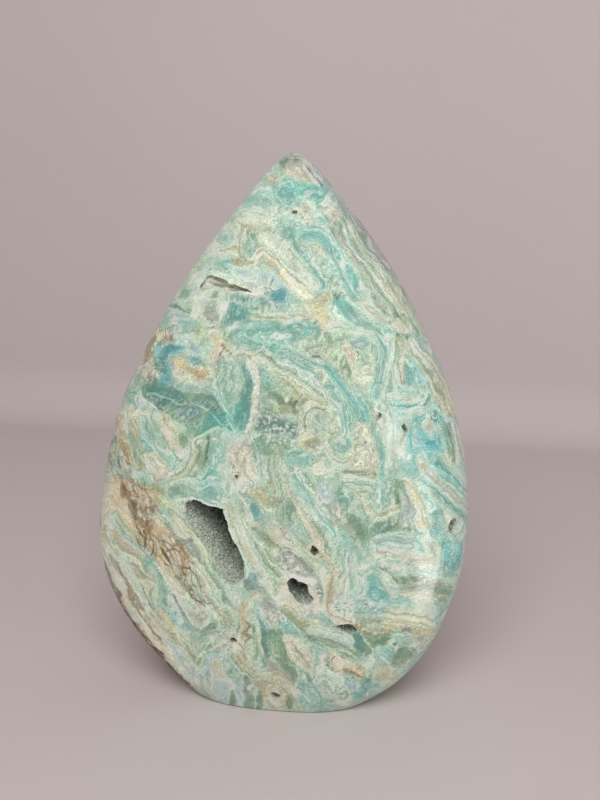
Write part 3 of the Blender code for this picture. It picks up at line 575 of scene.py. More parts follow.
# right of the middle
ribbon("right_bar", ["pale", "seafoam", "turquoise", "teal", "seafoam"], 14,
       [(376, 330), (384, 344), (384, 358), (381, 372), (379, 388), (374, 402)])
vein("right_bar_cream", "cream", 4, [(392, 334), (391, 348), (389, 362), (388, 374), (387, 386)])
vein("right_bar_green", "green", 1.6, [(394, 340), (392, 356), (393, 372), (397, 386)])
vein("fold_pale", "pale", 2.4, [(394, 356), (394, 372), (398, 384), (404, 389), (411, 388), (415, 382)])
patch("fold_olive", "olive", [(396, 338), (404, 342), (408, 354), (408, 372), (407, 382), (402, 385), (398, 378),
      (396, 358)], 2)
patch("fold_pink", "pink", [(399, 344), (404, 348), (406, 362), (405, 378), (401, 380), (400, 364)], 2,
      strength=0.8)
patch("fold_teal", "teal", [(408, 362), (414, 364), (416, 376), (413, 384), (409, 384)], 2)
ribbon("outer_fold", ["mint", "seafoam", "teal", "turquoise", "pale"], 12,
       [(414, 362), (424, 370), (430, 381), (431, 394), (425, 404), (412, 408), (398, 406), (388, 404)])
vein("fold_bone", "bone", 4, [(415, 372), (421, 380), (425, 388), (427, 396)])
ribbon("inner_fold", ["mint", "pale", "bone", "pale", "mint"], 11,
       [(384, 397), (396, 398), (406, 399), (414, 397), (419, 390), (418, 382)])
vein("fold_white", "white", 2.6, [(394, 411), (406, 412), (417, 408), (426, 401)])
patch("deep_turquoise", "lagoon", [(410, 424), (418, 418), (436, 416), (446, 428), (450, 446), (446, 462),
      (424, 462), (412, 450), (408, 436)], 2.6)
patch("deep_turquoise_heart", "blue", [(412, 428), (422, 436), (434, 440), (441, 434), (444, 442), (432, 446),
      (418, 442)], 3, strength=0.6)
patch("pink_window", "bone", [(422, 422), (432, 420), (436, 428), (433, 438), (426, 434), (421, 429)], 2.2)
patch("teal_knot", "deep", [(432, 410), (438, 408), (440, 418), (434, 420), (430, 416)], 2.2)
vein("knot_loop", "white", 1.5, [(434, 410), (433, 415), (437, 417), (438, 411)])
ribbon("edge_folds", ["green", "cream", "olive", "bone", "green", "tan", "mint"], 20,
       [(406, 340), (416, 354), (428, 366), (438, 382), (446, 398), (454, 418)])
specks("edge_fold_pink", "pink", 3.0, 0.45, [(424, 352), (446, 384), (460, 424), (450, 424), (434, 384)])
specks("edge_fold_brown", "rust", 2.0, 0.25, [(420, 350), (444, 376), (452, 398), (436, 380)])
ribbon("edge_stripes", ["mint", "green", "white", "teal", "green", "pale"], 22,
       [(446, 420), (452, 436), (455, 450), (458, 466)])
patch("twin_pit_ground", "bone", [(368, 410), (380, 407), (386, 415), (389, 428), (386, 438), (378, 426),
      (372, 416)], 2)
patch("right_pit_ground", "bone", [(397, 418), (408, 420), (412, 426), (407, 436), (402, 446), (395, 456),
      (398, 438)], 2)
# painted shade: a black spot for the dark inside a small pit
patch("twin_pit", "black", [(377, 413), (380, 413), (381, 418), (379, 418)], 0.9)
vein("right_pit_tail", "olive", 1.8, [(404, 430), (402, 437), (399, 444)])
# painted highlight: a pale column where the sheen runs down the right flank
vein("pale_column", "pale", 8, [(388, 396), (391, 412), (391, 430), (391, 448), (389, 466)], 3, 0.7)

# below the deep turquoise
patch("spot_ground", "bone", [(417, 455), (424, 457), (431, 466), (431, 475), (422, 476), (417, 466)], 1.8)
patch("spot_brown", "rust", [(422, 462), (426, 463), (427, 468), (424, 469)], 1.4, strength=0.7)
ribbon("right_diagonals", ["pale", "turquoise", "lagoon", "turquoise", "pink", "seafoam", "turquoise", "pale",
       "turquoise", "bone"], 50, [(422, 470), (436, 482), (450, 494), (464, 506), (476, 516)])
vein("diagonal_bone", "bone", 3.6, [(432, 483), (441, 490), (450, 498), (458, 505), (466, 513)])
vein("diagonal_pale", "pale", 2.6, [(446, 482), (454, 489), (465, 498)])
vein("diagonal_high", "bone", 3.4, [(448, 470), (456, 477), (466, 486)])
vein("diagonal_short", "pale", 3, [(429, 462), (435, 469), (438, 478)])
vein("edge_rungs", "white", 1.8, [(451, 456), (451, 464), (450, 472)])
patch("teal_drop", "turquoise", [(433, 508), (441, 506), (445, 520), (447, 536), (460, 542), (464, 552),
      (450, 552), (440, 542), (434, 534), (431, 520)], 2.4)
patch("teal_drop_sky", "sky", [(437, 512), (441, 518), (444, 532), (440, 536), (437, 524)], 3, strength=0.6)
patch("teal_edge", "lagoon", [(446, 540), (462, 538), (464, 556), (458, 572), (446, 566), (440, 554)], 3)
patch("pit_rim", "pale", [(440, 508), (452, 512), (466, 525), (464, 538), (454, 543), (446, 538), (444, 522)],
      2)
patch("pit_pink", "pink", [(449, 521), (455, 523), (455, 530), (449, 531)], 1.6)
vein("pit_green_line", "pale", 2, [(442, 510), (452, 516), (463, 526)])
patch("blue_nick", "blue", [(430, 529), (436, 534), (436, 539), (431, 537)], 1.8)
patch("eye_white", "white", [(426, 500), (432, 501), (436, 508), (430, 512), (428, 506)], 1.4)
patch("pale_drop", "pale", [(424, 540), (434, 540), (442, 552), (440, 566), (428, 566)], 4)

# the green feathers and the butter band
vein("left_teal_bar", "turquoise", 8, [(381, 446), (383, 462), (383, 478), (381, 494), (378, 509)])
vein("left_bar_pale", "pale", 2.4, [(396, 448), (388, 462), (384, 476), (378, 492), (376, 504)])
ribbon("butter_bar", ["olive", "butter", "cream", "butter", "pale"], 14,
       [(402, 476), (408, 486), (414, 498), (420, 510), (424, 522), (427, 532)])
patch("feather_1", "green", [(391, 480), (399, 479), (404, 492), (403, 505), (396, 513), (388, 515), (391, 502),
      (389, 490)], 1.8)
patch("feather_1_dark", "moss", [(395, 490), (401, 494), (400, 505), (394, 504)], 2.4)
fibres("feather_1_teeth", "white", 80, [(384, 484), (392, 482), (393, 502), (385, 504)], 6, 1.8, 0.5)
patch("lilac_1", "grey", [(404, 494), (412, 503), (415, 516), (410, 526), (400, 521), (396, 514), (403, 506)],
      2.5, strength=0.8)
patch("lilac_1_pink", "sky", [(400, 510), (408, 508), (411, 516), (404, 520)], 3, strength=0.7)
ribbon("feather_arc", ["cream", "olive", "cream", "mint"], 9,
       [(360, 492), (364, 504), (370, 514), (380, 517), (392, 512), (402, 510)])
patch("feather_2", "green", [(368, 530), (377, 522), (392, 519), (404, 524), (413, 527), (410, 537),
      (398, 533), (386, 535), (376, 539), (367, 540)], 2)
patch("feather_2_dark", "moss", [(376, 526), (388, 522), (394, 526), (386, 532), (377, 533)], 2.4)
patch("feather_2_blue", "deep", [(377, 529), (382, 527), (385, 531), (380, 534)], 1.6)
fibres("feather_2_teeth", "pale", 20, [(372, 518), (408, 518), (412, 526), (372, 526)], 5, 1.6, 0.4)
ribbon("grey_shelf", ["mint", "seafoam", "grey", "seafoam", "sky", "seafoam"], 17,
       [(372, 545), (384, 541), (398, 540), (416, 542)])
ribbon("pink_shelf", ["mint", "bone", "pink", "bone", "pale"], 12,
       [(374, 551), (388, 553), (404, 557), (420, 560), (436, 558)])
patch("green_shelf", "mint", [(380, 560), (396, 560), (414, 566), (418, 580), (404, 586), (388, 574)], 3)
specks("green_shelf_specks", "green", 2.6, 0.45, [(380, 558), (416, 566), (418, 582), (390, 578)])
vein("moss_shelf", "moss", 3.4, [(380, 566), (388, 572), (396, 579), (404, 585), (418, 582)])

# middle, between the large pocket and the right feathers
patch("pink_pool", "bone", [(228, 450), (236, 438), (250, 438), (258, 450), (261, 464), (262, 476), (254, 483),
      (242, 485), (234, 480), (231, 466)], 2.6)
patch("pink_pool_tan", "tan", [(248, 463), (256, 464), (257, 474), (250, 475)], 4, strength=0.4)
specks("pink_pool_brown", "brown", 1.7, 0.45, [(231, 454), (238, 452), (239, 480), (232, 484)])
fibres("pool_edge_teal", "teal", 15, [(251, 444), (260, 442), (264, 462), (262, 476), (256, 462)], 7, 1.8, 0.6)
patch("pool_right_green", "mint", [(262, 454), (270, 456), (272, 478), (266, 486), (262, 474)], 3)
patch("teal_pool", "turquoise", [(284, 453), (300, 451), (312, 455), (310, 465), (296, 467), (286, 464)], 2.8)
patch("teal_pool_2", "turquoise", [(298, 473), (306, 472), (309, 480), (301, 482)], 2.6)
ribbon("upright_layers", ["mint", "olive", "mint", "pale", "green", "mint", "olive", "mint"], 22,
       [(276, 452), (277, 466), (278, 480), (282, 494), (284, 508), (286, 522)])
patch("olive_flame", "olive", [(246, 493), (258, 486), (268, 486), (270, 496), (280, 502), (272, 510),
      (262, 506), (252, 500)], 2.4, strength=0.8)
patch("olive_flame_light", "butter", [(254, 492), (264, 488), (267, 496), (274, 502), (266, 504), (258, 498)], 2)
patch("flame_crystal", "cream", [(259, 490), (262, 488), (263, 493), (260, 494)], 1.0, "olive", 1.2)
patch("sky_flame", "sky", [(238, 492), (246, 496), (256, 506), (262, 516), (254, 516), (244, 506)], 2.6)
patch("teal_flame", "teal", [(251, 504), (258, 506), (262, 516), (260, 521), (254, 514)], 2.2)
patch("green_flame", "green", [(254, 518), (262, 522), (266, 530), (260, 532), (255, 526)], 2.2)
ribbon("pocket_side_band", ["cream", "mint", "green", "mint", "pale", "butter", "pale", "mint"], 26,
       [(234, 498), (237, 514), (243, 530), (250, 546), (259, 562), (270, 578), (280, 596)])
ribbon("green_slip", ["butter", "mint", "moss", "green", "mint", "pale"], 12,
       [(250, 524), (260, 534), (272, 542), (286, 551), (299, 561), (312, 573), (320, 588)])
patch("bone_slip", "bone", [(267, 524), (276, 523), (284, 531), (290, 541), (287, 545), (276, 539),
      (268, 531)], 1.6)
vein("bone_slip_crack", "brown", 1.6, [(272, 525), (277, 527), (280, 533)])
vein("rust_slip", "tan", 3, [(276, 519), (282, 524), (287, 532), (292, 540)])
ribbon("bone_long", ["green", "bone", "pink", "cream", "bone", "green"], 12,
       [(284, 480), (291, 493), (299, 508), (307, 522), (317, 536), (326, 552), (334, 566), (337, 582)])
vein("bone_long_line", "green", 1.5, [(288, 494), (293, 508), (300, 521), (308, 532), (314, 542)])
patch("green_lance", "green", [(286, 506), (291, 502), (293, 514), (289, 522), (286, 516)], 2)
ribbon("turquoise_lance", ["green", "pale", "seafoam", "turquoise", "seafoam", "mint"], 20,
       [(294, 470), (303, 484), (312, 498), (321, 512), (330, 526), (338, 540)])
patch("lance_white", "white", [(312, 516), (317, 515), (319, 519), (314, 520)], 1.2)
vein("lance_white_line", "white", 2.2, [(322, 519), (328, 527), (333, 536)])
patch("cream_ball", "cream", [(313, 466), (320, 463), (324, 469), (321, 476), (314, 474)], 2.4)
specks("yellow_mottle", "butter", 3.0, 0.5, [(316, 456), (334, 458), (338, 484), (326, 488), (322, 470)])
specks("white_mottle", "white", 1.8, 0.35, [(312, 446), (328, 446), (330, 460), (314, 460)])
specks("white_mottle_dark", "slate", 1.8, 0.3, [(312, 446), (328, 446), (330, 460), (314, 460)])
patch("lilac_2", "sky", [(318, 486), (328, 484), (332, 498), (326, 506), (320, 500)], 3)
patch("lilac_3", "grey", [(326, 504), (340, 500), (348, 510), (344, 524), (332, 524)], 3, strength=0.7)
fibres("teal_brush", "deep", 50, [(333, 490), (346, 492), (354, 502), (348, 510), (336, 500)], 7, 1.8, 0.55)
patch("teal_brush_heart", "teal", [(340, 496), (350, 498), (351, 505), (344, 506)], 3, strength=0.8)
fibres("brush_fringe", "cream", 40, [(350, 494), (362, 494), (366, 514), (356, 514)], 7, 1.8, 0.5)
patch("green_cushion", "green", [(345, 516), (356, 515), (366, 526), (366, 543), (356, 540), (347, 530)], 2.6)
patch("green_cushion_dark", "moss", [(354, 524), (363, 526), (364, 538), (357, 536)], 3, strength=0.7)
patch("teal_foot", "seafoam", [(334, 530), (346, 530), (356, 540), (352, 548), (340, 542)], 2.6)
patch("teal_foot_2", "teal", [(354, 544), (364, 544), (366, 556), (358, 558)], 2.6, strength=0.7)
ribbon("v_layers", ["mint", "cream", "olive", "pale", "mint"], 13,
       [(324, 436), (329, 448), (335, 458), (343, 463), (351, 458), (356, 450), (360, 442)])
patch("v_heart", "seafoam", [(338, 440), (350, 440), (350, 450), (343, 454)], 2.4)
patch("tan_mottle_right", "bone", [(356, 424), (366, 428), (374, 446), (376, 466), (362, 470), (352, 456),
      (360, 444)], 2.6)
specks("tan_mottle_specks", "tan", 2.4, 0.4, [(356, 424), (376, 440), (376, 468), (356, 468)])
specks("tan_mottle_olive", "olive", 2.2, 0.35, [(354, 430), (376, 444), (378, 470), (354, 470)])
ribbon("flat_lens", ["olive", "moss", "white", "cream", "seafoam", "turquoise", "pale", "olive"], 22,
       [(340, 480), (352, 479), (364, 481), (376, 484)])
vein("flat_lens_under", "olive", 2.2, [(340, 480), (346, 486), (354, 490), (363, 496)])
vein("flat_lens_white", "white", 2.2, [(343, 476), (352, 477), (366, 478), (374, 479)])
ribbon("upright_stripes", ["mint", "green", "pale", "seafoam", "pale", "green", "mint"], 24,
       [(346, 546), (345, 560), (345, 574), (344, 590)])
ribbon("little_curl", ["cream", "tan", "cream", "olive"], 10,
       [(312, 560), (322, 560), (331, 563), (334, 571), (330, 580), (322, 584)])
patch("centre_pit_ground", "bone", [(306, 548), (314, 542), (324, 548), (324, 556), (314, 560), (308, 556)], 2.4)
patch("grey_wash", "grey", [(276, 552), (290, 554), (304, 565), (314, 579), (302, 582), (287, 576), (279, 564)],
      2.6)
specks("grey_wash_white", "white", 2.2, 0.35, [(276, 550), (292, 556), (312, 580), (288, 578)])
patch("moss_arc", "moss", [(266, 546), (272, 548), (276, 560), (274, 566), (268, 558)], 2.6, strength=0.7)
patch("teal_corner", "teal", [(249, 574), (257, 573), (262, 582), (258, 588), (250, 583)], 2.4)

# the lower left edge
patch("low_ground_left", "pale", [(112, 562), (140, 560), (160, 600), (200, 650), (220, 690), (200, 690),
      (160, 650), (125, 605)], 5)
patch("low_ground_middle", "mint", [(200, 590), (300, 600), (330, 640), (330, 712), (215, 705), (200, 660)], 6)
patch("low_ground_right", "seafoam", [(330, 600), (460, 590), (430, 650), (380, 690), (330, 705)], 6)
vein("low_edge_rust", "rust", 4, [(102, 562), (107, 574), (112, 584), (118, 592)])
ribbon("low_edge_layers", ["rust", "bone", "cream", "pale", "mint"], 13,
       [(108, 564), (116, 580), (124, 594), (132, 608), (142, 624), (153, 640), (166, 654), (180, 666)])
patch("low_edge_knot", "brown", [(114, 592), (119, 590), (124, 598), (127, 608), (121, 606), (116, 599)], 1.6)
patch("low_edge_pink", "pink", [(121, 597), (126, 599), (127, 605), (123, 604)], 1.2)
vein("low_olive_line", "olive", 3.4, [(130, 562), (138, 574), (146, 579), (154, 582), (158, 588)])
patch("low_left_teal", "lagoon", [(142, 560), (150, 562), (152, 570), (145, 572)], 2.6)
specks("low_teal_specks", "slate", 2.0, 0.35, [(130, 600), (146, 600), (144, 610), (130, 606)])
ribbon("low_teal_arc", ["mint", "seafoam", "teal", "lagoon", "seafoam"], 14,
       [(150, 562), (157, 576), (162, 590), (163, 602), (169, 613), (179, 619), (190, 626), (202, 632),
        (212, 630), (222, 624), (226, 616)])
patch("low_arc_teal_1", "teal", [(183, 622), (190, 620), (197, 626), (196, 632), (188, 630)], 2.4)
patch("low_arc_teal_2", "lagoon", [(166, 606), (173, 608), (180, 616), (178, 622), (170, 617)], 2.6)
patch("low_arc_teal_3", "slate", [(203, 626), (214, 622), (224, 622), (225, 628), (212, 634), (204, 634)], 2.6)
specks("low_arc_white", "white", 2.0, 0.5, [(165, 600), (174, 598), (180, 606), (176, 610), (168, 606)])
patch("low_lilac", "sky", [(176, 614), (183, 612), (184, 622), (178, 623)], 2.4)
vein("low_shadow_arc", "slate", 4, [(173, 594), (178, 602), (184, 610), (189, 618), (196, 625), (206, 628)])
patch("low_pale_tongue", "pale", [(176, 592), (184, 594), (194, 602), (200, 610), (208, 614), (207, 623),
      (198, 626), (191, 619), (185, 609), (179, 601)], 1.8, "white", 1.4)
fibres("low_tongue_ribs", "green", 65, [(178, 594), (194, 604), (198, 618), (188, 610)], 5, 1.5, 0.4)
patch("low_tongue_eye", "grey", [(198, 614), (204, 612), (207, 617), (202, 620), (198, 618)], 1.6, "pink", 1.6)
ribbon("low_pink_band", ["bone", "pink", "bone", "white"], 9,
       [(158, 562), (164, 573), (170, 584), (177, 592), (184, 599)])
patch("low_olive_field", "olive", [(172, 566), (182, 566), (188, 578), (190, 590), (184, 590), (177, 580)], 2.6)
ribbon("low_rust_lines", ["olive", "tan", "bone", "rust", "bone", "green"], 12,
       [(186, 566), (189, 578), (193, 588), (201, 596), (209, 605)])
vein("low_dark_crack", "brown", 2.2, [(189, 591), (196, 597), (203, 602), (208, 606)])
patch("low_bone_chip", "bone", [(189, 580), (196, 581), (197, 587), (191, 586)], 1.2)
patch("low_pink_chip", "pink", [(195, 600), (204, 604), (210, 610), (204, 611), (197, 606)], 1.6)
ribbon("low_green_bands", ["seafoam", "green", "mint", "pale", "olive", "pale", "mint"], 26,
       [(196, 566), (205, 582), (214, 597), (224, 612), (232, 626)])
patch("low_button", "cream", [(216, 611), (222, 611), (223, 618), (218, 618)], 1.4)
vein("low_button_line", "rust", 1.2, [(218, 613), (221, 617)])
ribbon("low_button_arcs", ["slate", "mint", "pale", "mint", "olive"], 13,
       [(224, 606), (232, 614), (235, 626), (230, 637), (221, 643), (212, 648)])
vein("low_line_1", "slate", 2.2, [(142, 582), (146, 594), (149, 604), (154, 612)])
vein("low_line_2", "olive", 2.0, [(151, 586), (151, 598), (156, 610), (164, 620)])
ribbon("low_butter_lines", ["olive", "cream", "tan", "butter", "olive"], 11,
       [(156, 608), (164, 618), (169, 628), (175, 637), (186, 648)])
ribbon("low_v_left", ["pale", "olive", "green", "cream", "olive"], 9,
       [(145, 610), (153, 620), (162, 629), (172, 637), (182, 646), (190, 655), (196, 666)])
ribbon("low_v_right", ["green", "olive", "butter", "green"], 8,
       [(198, 668), (203, 659), (208, 651), (216, 645), (222, 640)])
patch("low_v_fill", "green", [(186, 632), (206, 636), (214, 642), (204, 654), (198, 662), (192, 650)], 3,
      strength=0.6)
vein("low_v_line", "pale", 1.8, [(196, 664), (200, 655), (206, 645), (212, 640)])
patch("low_pale_field", "sky", [(162, 640), (176, 645), (190, 658), (196, 672), (190, 682), (176, 666)], 4)
patch("low_sky_lobe", "sky", [(207, 655), (220, 654), (222, 662), (212, 668), (207, 676), (200, 674),
      (204, 664)], 1.8, "lagoon", 1.6)
ribbon("low_pink_column", ["mint", "bone", "pink", "butter", "mint", "sky"], 14,
       [(215, 658), (214, 670), (216, 681), (220, 694)])
vein("low_lilac_line", "lagoon", 2.0, [(222, 660), (223, 672), (225, 684), (227, 696)])
vein("low_right_line", "pale", 1.8, [(226, 666), (232, 662), (238, 658)])

# the foot's row of upright lobes
patch("foot_sky", "sky", [(214, 680), (244, 684), (266, 694), (262, 712), (222, 706)], 4)
for k, (x, top, tone) in enumerate(((233, 688, "moss"), (249, 690, "green"), (258, 692, "moss"))):
    patch(f"foot_lobe_{k}", tone, [(x - 3, top + 3), (x, top), (x + 3, top + 3), (x + 4, 709), (x - 3, 709)], 2)
patch("foot_slate", "slate", [(240, 678), (247, 679), (248, 692), (243, 691)], 2.8)
patch("foot_glint", "white", [(245, 686), (248, 686), (248, 690), (246, 690)], 1.0)

# below the two pockets
patch("under_pocket_teal", "teal", [(249, 574), (260, 573), (263, 588), (252, 596), (244, 592)], 2.8)
patch("under_pocket_slate", "slate", [(242, 581), (250, 582), (254, 592), (246, 593)], 2.4)
ribbon("tan_hook", ["cream", "butter", "tan", "butter", "mint"], 10,
       [(270, 592), (260, 593), (250, 597), (244, 604), (242, 614), (245, 626), (247, 638), (246, 650),
        (250, 662)])
vein("tan_hook_squiggle", "rust", 2.0, [(245, 618), (249, 625), (245, 632), (250, 638), (247, 646)])
patch("hook_green", "moss", [(266, 591), (271, 592), (271, 598), (267, 597)], 1.8)
ribbon("ring_right_of_hook", ["green", "pale", "white", "pale", "mint"], 15,
       [(258, 580), (268, 586), (274, 596), (284, 605), (297, 612), (308, 618)])
patch("small_pocket_ring", "bone", [(282, 576), (294, 574), (312, 578), (318, 592), (324, 602), (320, 612),
      (304, 612), (290, 608), (280, 596)], 2.6)
specks("small_pocket_flecks", "pink", 2.4, 0.4, [(282, 576), (316, 580), (326, 604), (318, 616), (290, 608)])
patch("ring_slate", "slate", [(318, 586), (324, 588), (326, 602), (320, 604)], 2.4)
patch("sky_runnel", "seafoam", [(252, 600), (259, 598), (260, 612), (254, 620), (251, 612)], 2.6)
patch("grey_fan", "grey", [(260, 598), (270, 602), (278, 616), (272, 626), (262, 618)], 3)
vein("fan_cream_edge", "cream", 2.6, [(264, 602), (271, 606), (276, 614), (279, 624)])
specks("fan_white", "white", 2.2, 0.45, [(268, 612), (284, 616), (284, 626), (272, 626)])
patch("tan_dot", "tan", [(280, 613), (286, 612), (287, 617), (282, 618)], 1.8, "cream", 1.6)
ribbon("green_olive_slip", ["cream", "olive", "green", "olive", "green", "mint"], 18,
       [(278, 606), (288, 614), (298, 622), (310, 628), (326, 632)])
vein("slip_cream_line", "cream", 2.4, [(289, 620), (294, 626), (303, 631)])
patch("lilac_slip", "lagoon", [(276, 620), (288, 622), (298, 632), (300, 640), (288, 636), (278, 630)], 3)
patch("deep_fan", "deep", [(256, 619), (262, 622), (266, 634), (270, 648), (267, 664), (262, 656), (258, 640)],
      2.2)
fibres("deep_fan_strands", "blue", -8, [(254, 616), (264, 620), (272, 650), (266, 668), (258, 646)], 10, 1.7, 0.5)
ribbon("fan_left_column", ["butter", "mint", "pale", "green"], 9,
       [(252, 620), (254, 634), (257, 648), (261, 662)])
patch("moss_fan", "green", [(268, 630), (280, 634), (286, 648), (290, 662), (284, 668), (274, 660),
      (268, 648)], 3)
specks("moss_fan_specks", "moss", 3.0, 0.45, [(268, 630), (284, 636), (292, 666), (280, 668), (268, 650)])
ribbon("moss_fan_edge", ["moss", "slate", "green"], 7, [(276, 656), (284, 664), (291, 672), (298, 682)])
patch("foot_grey", "grey", [(264, 656), (276, 662), (290, 674), (296, 688), (286, 680), (270, 672)], 3)
patch("pale_wedge", "bone", [(284, 635), (300, 640), (314, 654), (318, 668), (306, 672), (297, 668),
      (288, 660), (286, 648)], 2.4)
specks("pale_wedge_grey", "grey", 3.4, 0.45, [(284, 636), (300, 640), (318, 664), (300, 668), (286, 650)])
vein("wedge_line", "grey", 2, [(292, 640), (300, 650), (308, 660), (314, 668)])
patch("wedge_cream", "cream", [(292, 650), (306, 656), (312, 666), (300, 666)], 3)
ribbon("wedge_column", ["mint", "lagoon", "seafoam", "mint"], 9,
       [(313, 636), (319, 650), (319, 664), (316, 678), (314, 690)])
ribbon("olive_snake", ["cream", "olive", "olive", "butter", "olive", "mint"], 15,
       [(236, 650), (240, 662), (248, 671), (258, 678), (270, 679), (280, 682), (288, 691), (297, 700),
        (306, 712)])
ribbon("cream_snake", ["tan", "cream", "cream", "green"], 6,
       [(240, 648), (244, 658), (251, 667), (260, 674), (272, 674), (281, 676), (288, 684), (295, 693),
        (303, 702)])
vein("snake_crack", "brown", 1.5, [(249, 665), (254, 668), (259, 672)])
patch("low_pit_surround", "bone", [(224, 636), (236, 632), (246, 640), (248, 650), (240, 652), (230, 648)], 2.6)
vein("low_pit_crack", "brown", 1.6, [(236, 642), (242, 645), (248, 648)])
patch("foot_pit_field", "tan", [(252, 684), (268, 684), (284, 688), (290, 698), (284, 708), (266, 708),
      (258, 694)], 3, strength=0.7)
patch("foot_pit_ring", "bone", [(265, 688), (276, 686), (284, 693), (284, 704), (276, 706), (268, 698)], 1.8,
      "tan", 2)
patch("foot_green_spot", "moss", [(286, 698), (294, 696), (297, 706), (288, 710)], 2.8)
patch("foot_turquoise", "seafoam", [(298, 684), (316, 680), (330, 690), (334, 712), (306, 712)], 4)
vein("foot_white_1", "white", 2.2, [(303, 693), (309, 698), (314, 701)])
vein("foot_white_2", "pale", 2.0, [(296, 640), (303, 641), (309, 638)])
patch("foot_moss", "moss", [(304, 672), (314, 678), (312, 686), (304, 682)], 3, strength=0.6)

# white crackle right of the foot
patch("crackle_field", "mint", [(320, 650), (336, 650), (366, 676), (362, 700), (332, 706), (320, 690)], 4)
patch("crackle_tan", "bone", [(330, 652), (340, 652), (349, 660), (358, 666), (365, 671), (364, 677),
      (354, 672), (344, 669), (335, 669), (329, 662)], 2, "tan", 2)
vein("crackle_rust", "rust", 2.2, [(344, 669), (354, 671), (364, 677)])
vein("crackle_dark_1", "umber", 1.4, [(337, 653), (341, 656), (345, 659)])
vein("crackle_dark_2", "umber", 1.3, [(331, 663), (333, 659), (335, 656)])
vein("crackle_dark_3", "umber", 1.4, [(327, 666), (328, 670)])
vein("crackle_dark_4", "slate", 1.6, [(324, 700), (331, 702), (337, 701)])
for k, line in enumerate((
    [(324, 650), (323, 662), (328, 671), (334, 678), (339, 684)],
    [(319, 684), (322, 679), (328, 681), (333, 687), (335, 693)],
    [(332, 676), (338, 674), (343, 681), (338, 689)],
    [(338, 692), (346, 690), (350, 697), (344, 702)],
    [(322, 696), (330, 698), (338, 698)],
    [(346, 684), (350, 690), (352, 698)],
)):
    vein(f"crackle_line_{k}", "white", 3.0, line)
specks("crackle_white", "white", 2.4, 0.38, [(322, 654), (332, 668), (352, 690), (352, 704), (334, 704),
       (322, 684)])
specks("crackle_slate", "slate", 2.2, 0.34, [(322, 678), (340, 682), (350, 696), (330, 702)])
patch("crackle_green", "green", [(335, 686), (345, 686), (350, 693), (342, 696)], 2.4)
patch("foot_lagoon", "lagoon", [(346, 674), (362, 678), (370, 688), (360, 700), (348, 692)], 3)
patch("foot_lagoon_deep", "blue", [(350, 680), (357, 680), (358, 688), (351, 688)], 3, strength=0.6)

# the low right pocket and the bands round it
ribbon("green_sweep", ["pale", "mint", "green", "moss", "green", "mint"], 22,
       [(304, 634), (320, 637), (336, 642), (352, 650), (366, 657)])
vein("sweep_edge", "pale", 3, [(316, 641), (330, 647), (346, 651), (358, 659), (368, 667)])
vein("sweep_spark", "white", 2.4, [(327, 633), (333, 630)])
patch("deep_corner", "deep", [(352, 635), (358, 632), (368, 642), (370, 656), (360, 650), (355, 643)], 2)
patch("moss_corner", "moss", [(364, 636), (374, 640), (376, 652), (370, 654)], 2.6)
ribbon("tan_upright", ["bone", "tan", "olive", "tan", "bone", "mint"], 13,
       [(328, 572), (329, 586), (330, 600), (331, 612), (338, 619), (350, 621), (362, 627)])
specks("corner_flecks", "white", 2.2, 0.4, [(334, 600), (352, 598), (354, 616), (338, 618)])
specks("corner_moss", "moss", 2.0, 0.32, [(334, 604), (352, 606), (352, 618), (336, 618)])
ribbon("upright_stripes_low", ["mint", "white", "bone", "mint", "pale"], 15, [(344, 574), (343, 588), (342, 600)])
patch("pocket_lip_pink", "bone", [(331, 618), (340, 618), (344, 623), (337, 628), (332, 625)], 1.8)
ribbon("rust_snake", ["olive", "cream", "rust", "tan", "green"], 8,
       [(352, 620), (360, 625), (368, 632), (378, 634), (388, 632), (395, 626)])
ribbon("green_under_snake", ["moss", "green", "cream"], 6, [(368, 640), (379, 639), (390, 636)])
patch("olive_field", "olive", [(358, 618), (372, 618), (390, 622), (390, 630), (374, 632), (364, 626)], 2.6,
      strength=0.8)
specks("olive_field_pale", "mint", 3.0, 0.45, [(358, 616), (390, 620), (388, 632), (366, 628)])

# turquoise and straight bands on the lower right
patch("low_turquoise", "turquoise", [(356, 596), (368, 574), (378, 576), (388, 594), (404, 603), (424, 610),
      (402, 614), (380, 608), (364, 608)], 2.6)
patch("low_turquoise_deep", "lagoon", [(366, 590), (378, 586), (386, 600), (374, 604)], 3.4)
specks("slate_flecks", "slate", 2.2, 0.4, [(360, 604), (376, 606), (382, 616), (366, 616)])
specks("slate_flecks_white", "white", 2.0, 0.35, [(358, 604), (378, 604), (384, 616), (362, 614)])
vein("pink_string", "bone", 5, [(380, 574), (385, 586), (390, 596), (396, 604)])
ribbon("moss_layers", ["mint", "pale", "moss", "slate", "moss", "olive", "pale", "white", "olive", "cream",
       "mint"], 34, [(398, 588), (410, 590), (424, 591), (438, 593), (452, 597)])
vein("moss_dark_line", "moss", 2.6, [(400, 578), (408, 583), (419, 582)])
patch("dark_wedge", "moss", [(437, 585), (444, 588), (453, 591), (452, 594), (443, 593)], 1.6)
vein("wedge_butter", "butter", 2.4, [(438, 578), (447, 583), (456, 587)])
patch("green_wedge", "green", [(438, 594), (448, 596), (450, 602), (442, 602)], 2.4)
ribbon("butter_layers", ["lagoon", "turquoise", "mint", "cream", "olive", "cream", "butter", "cream", "olive",
       "butter"], 32, [(384, 612), (398, 614), (412, 616), (426, 619), (440, 622)])
patch("butter_field", "cream", [(410, 594), (430, 590), (436, 602), (428, 612), (412, 610)], 4, strength=0.6)
patch("edge_turquoise", "seafoam", [(434, 602), (448, 604), (442, 618), (434, 620)], 2.6)
vein("butter_line_low", "olive", 1.5, [(390, 620), (403, 621), (414, 624), (426, 629), (438, 629)])
patch("slate_nick", "slate", [(401, 628), (409, 627), (409, 635), (403, 635)], 1.8)
patch("lilac_nick", "grey", [(410, 628), (420, 632), (420, 642), (410, 638)], 2.6)
fibres("pink_ticks", "tan", -15, [(412, 630), (428, 632), (424, 646), (412, 640)], 6, 1.5, 0.55)
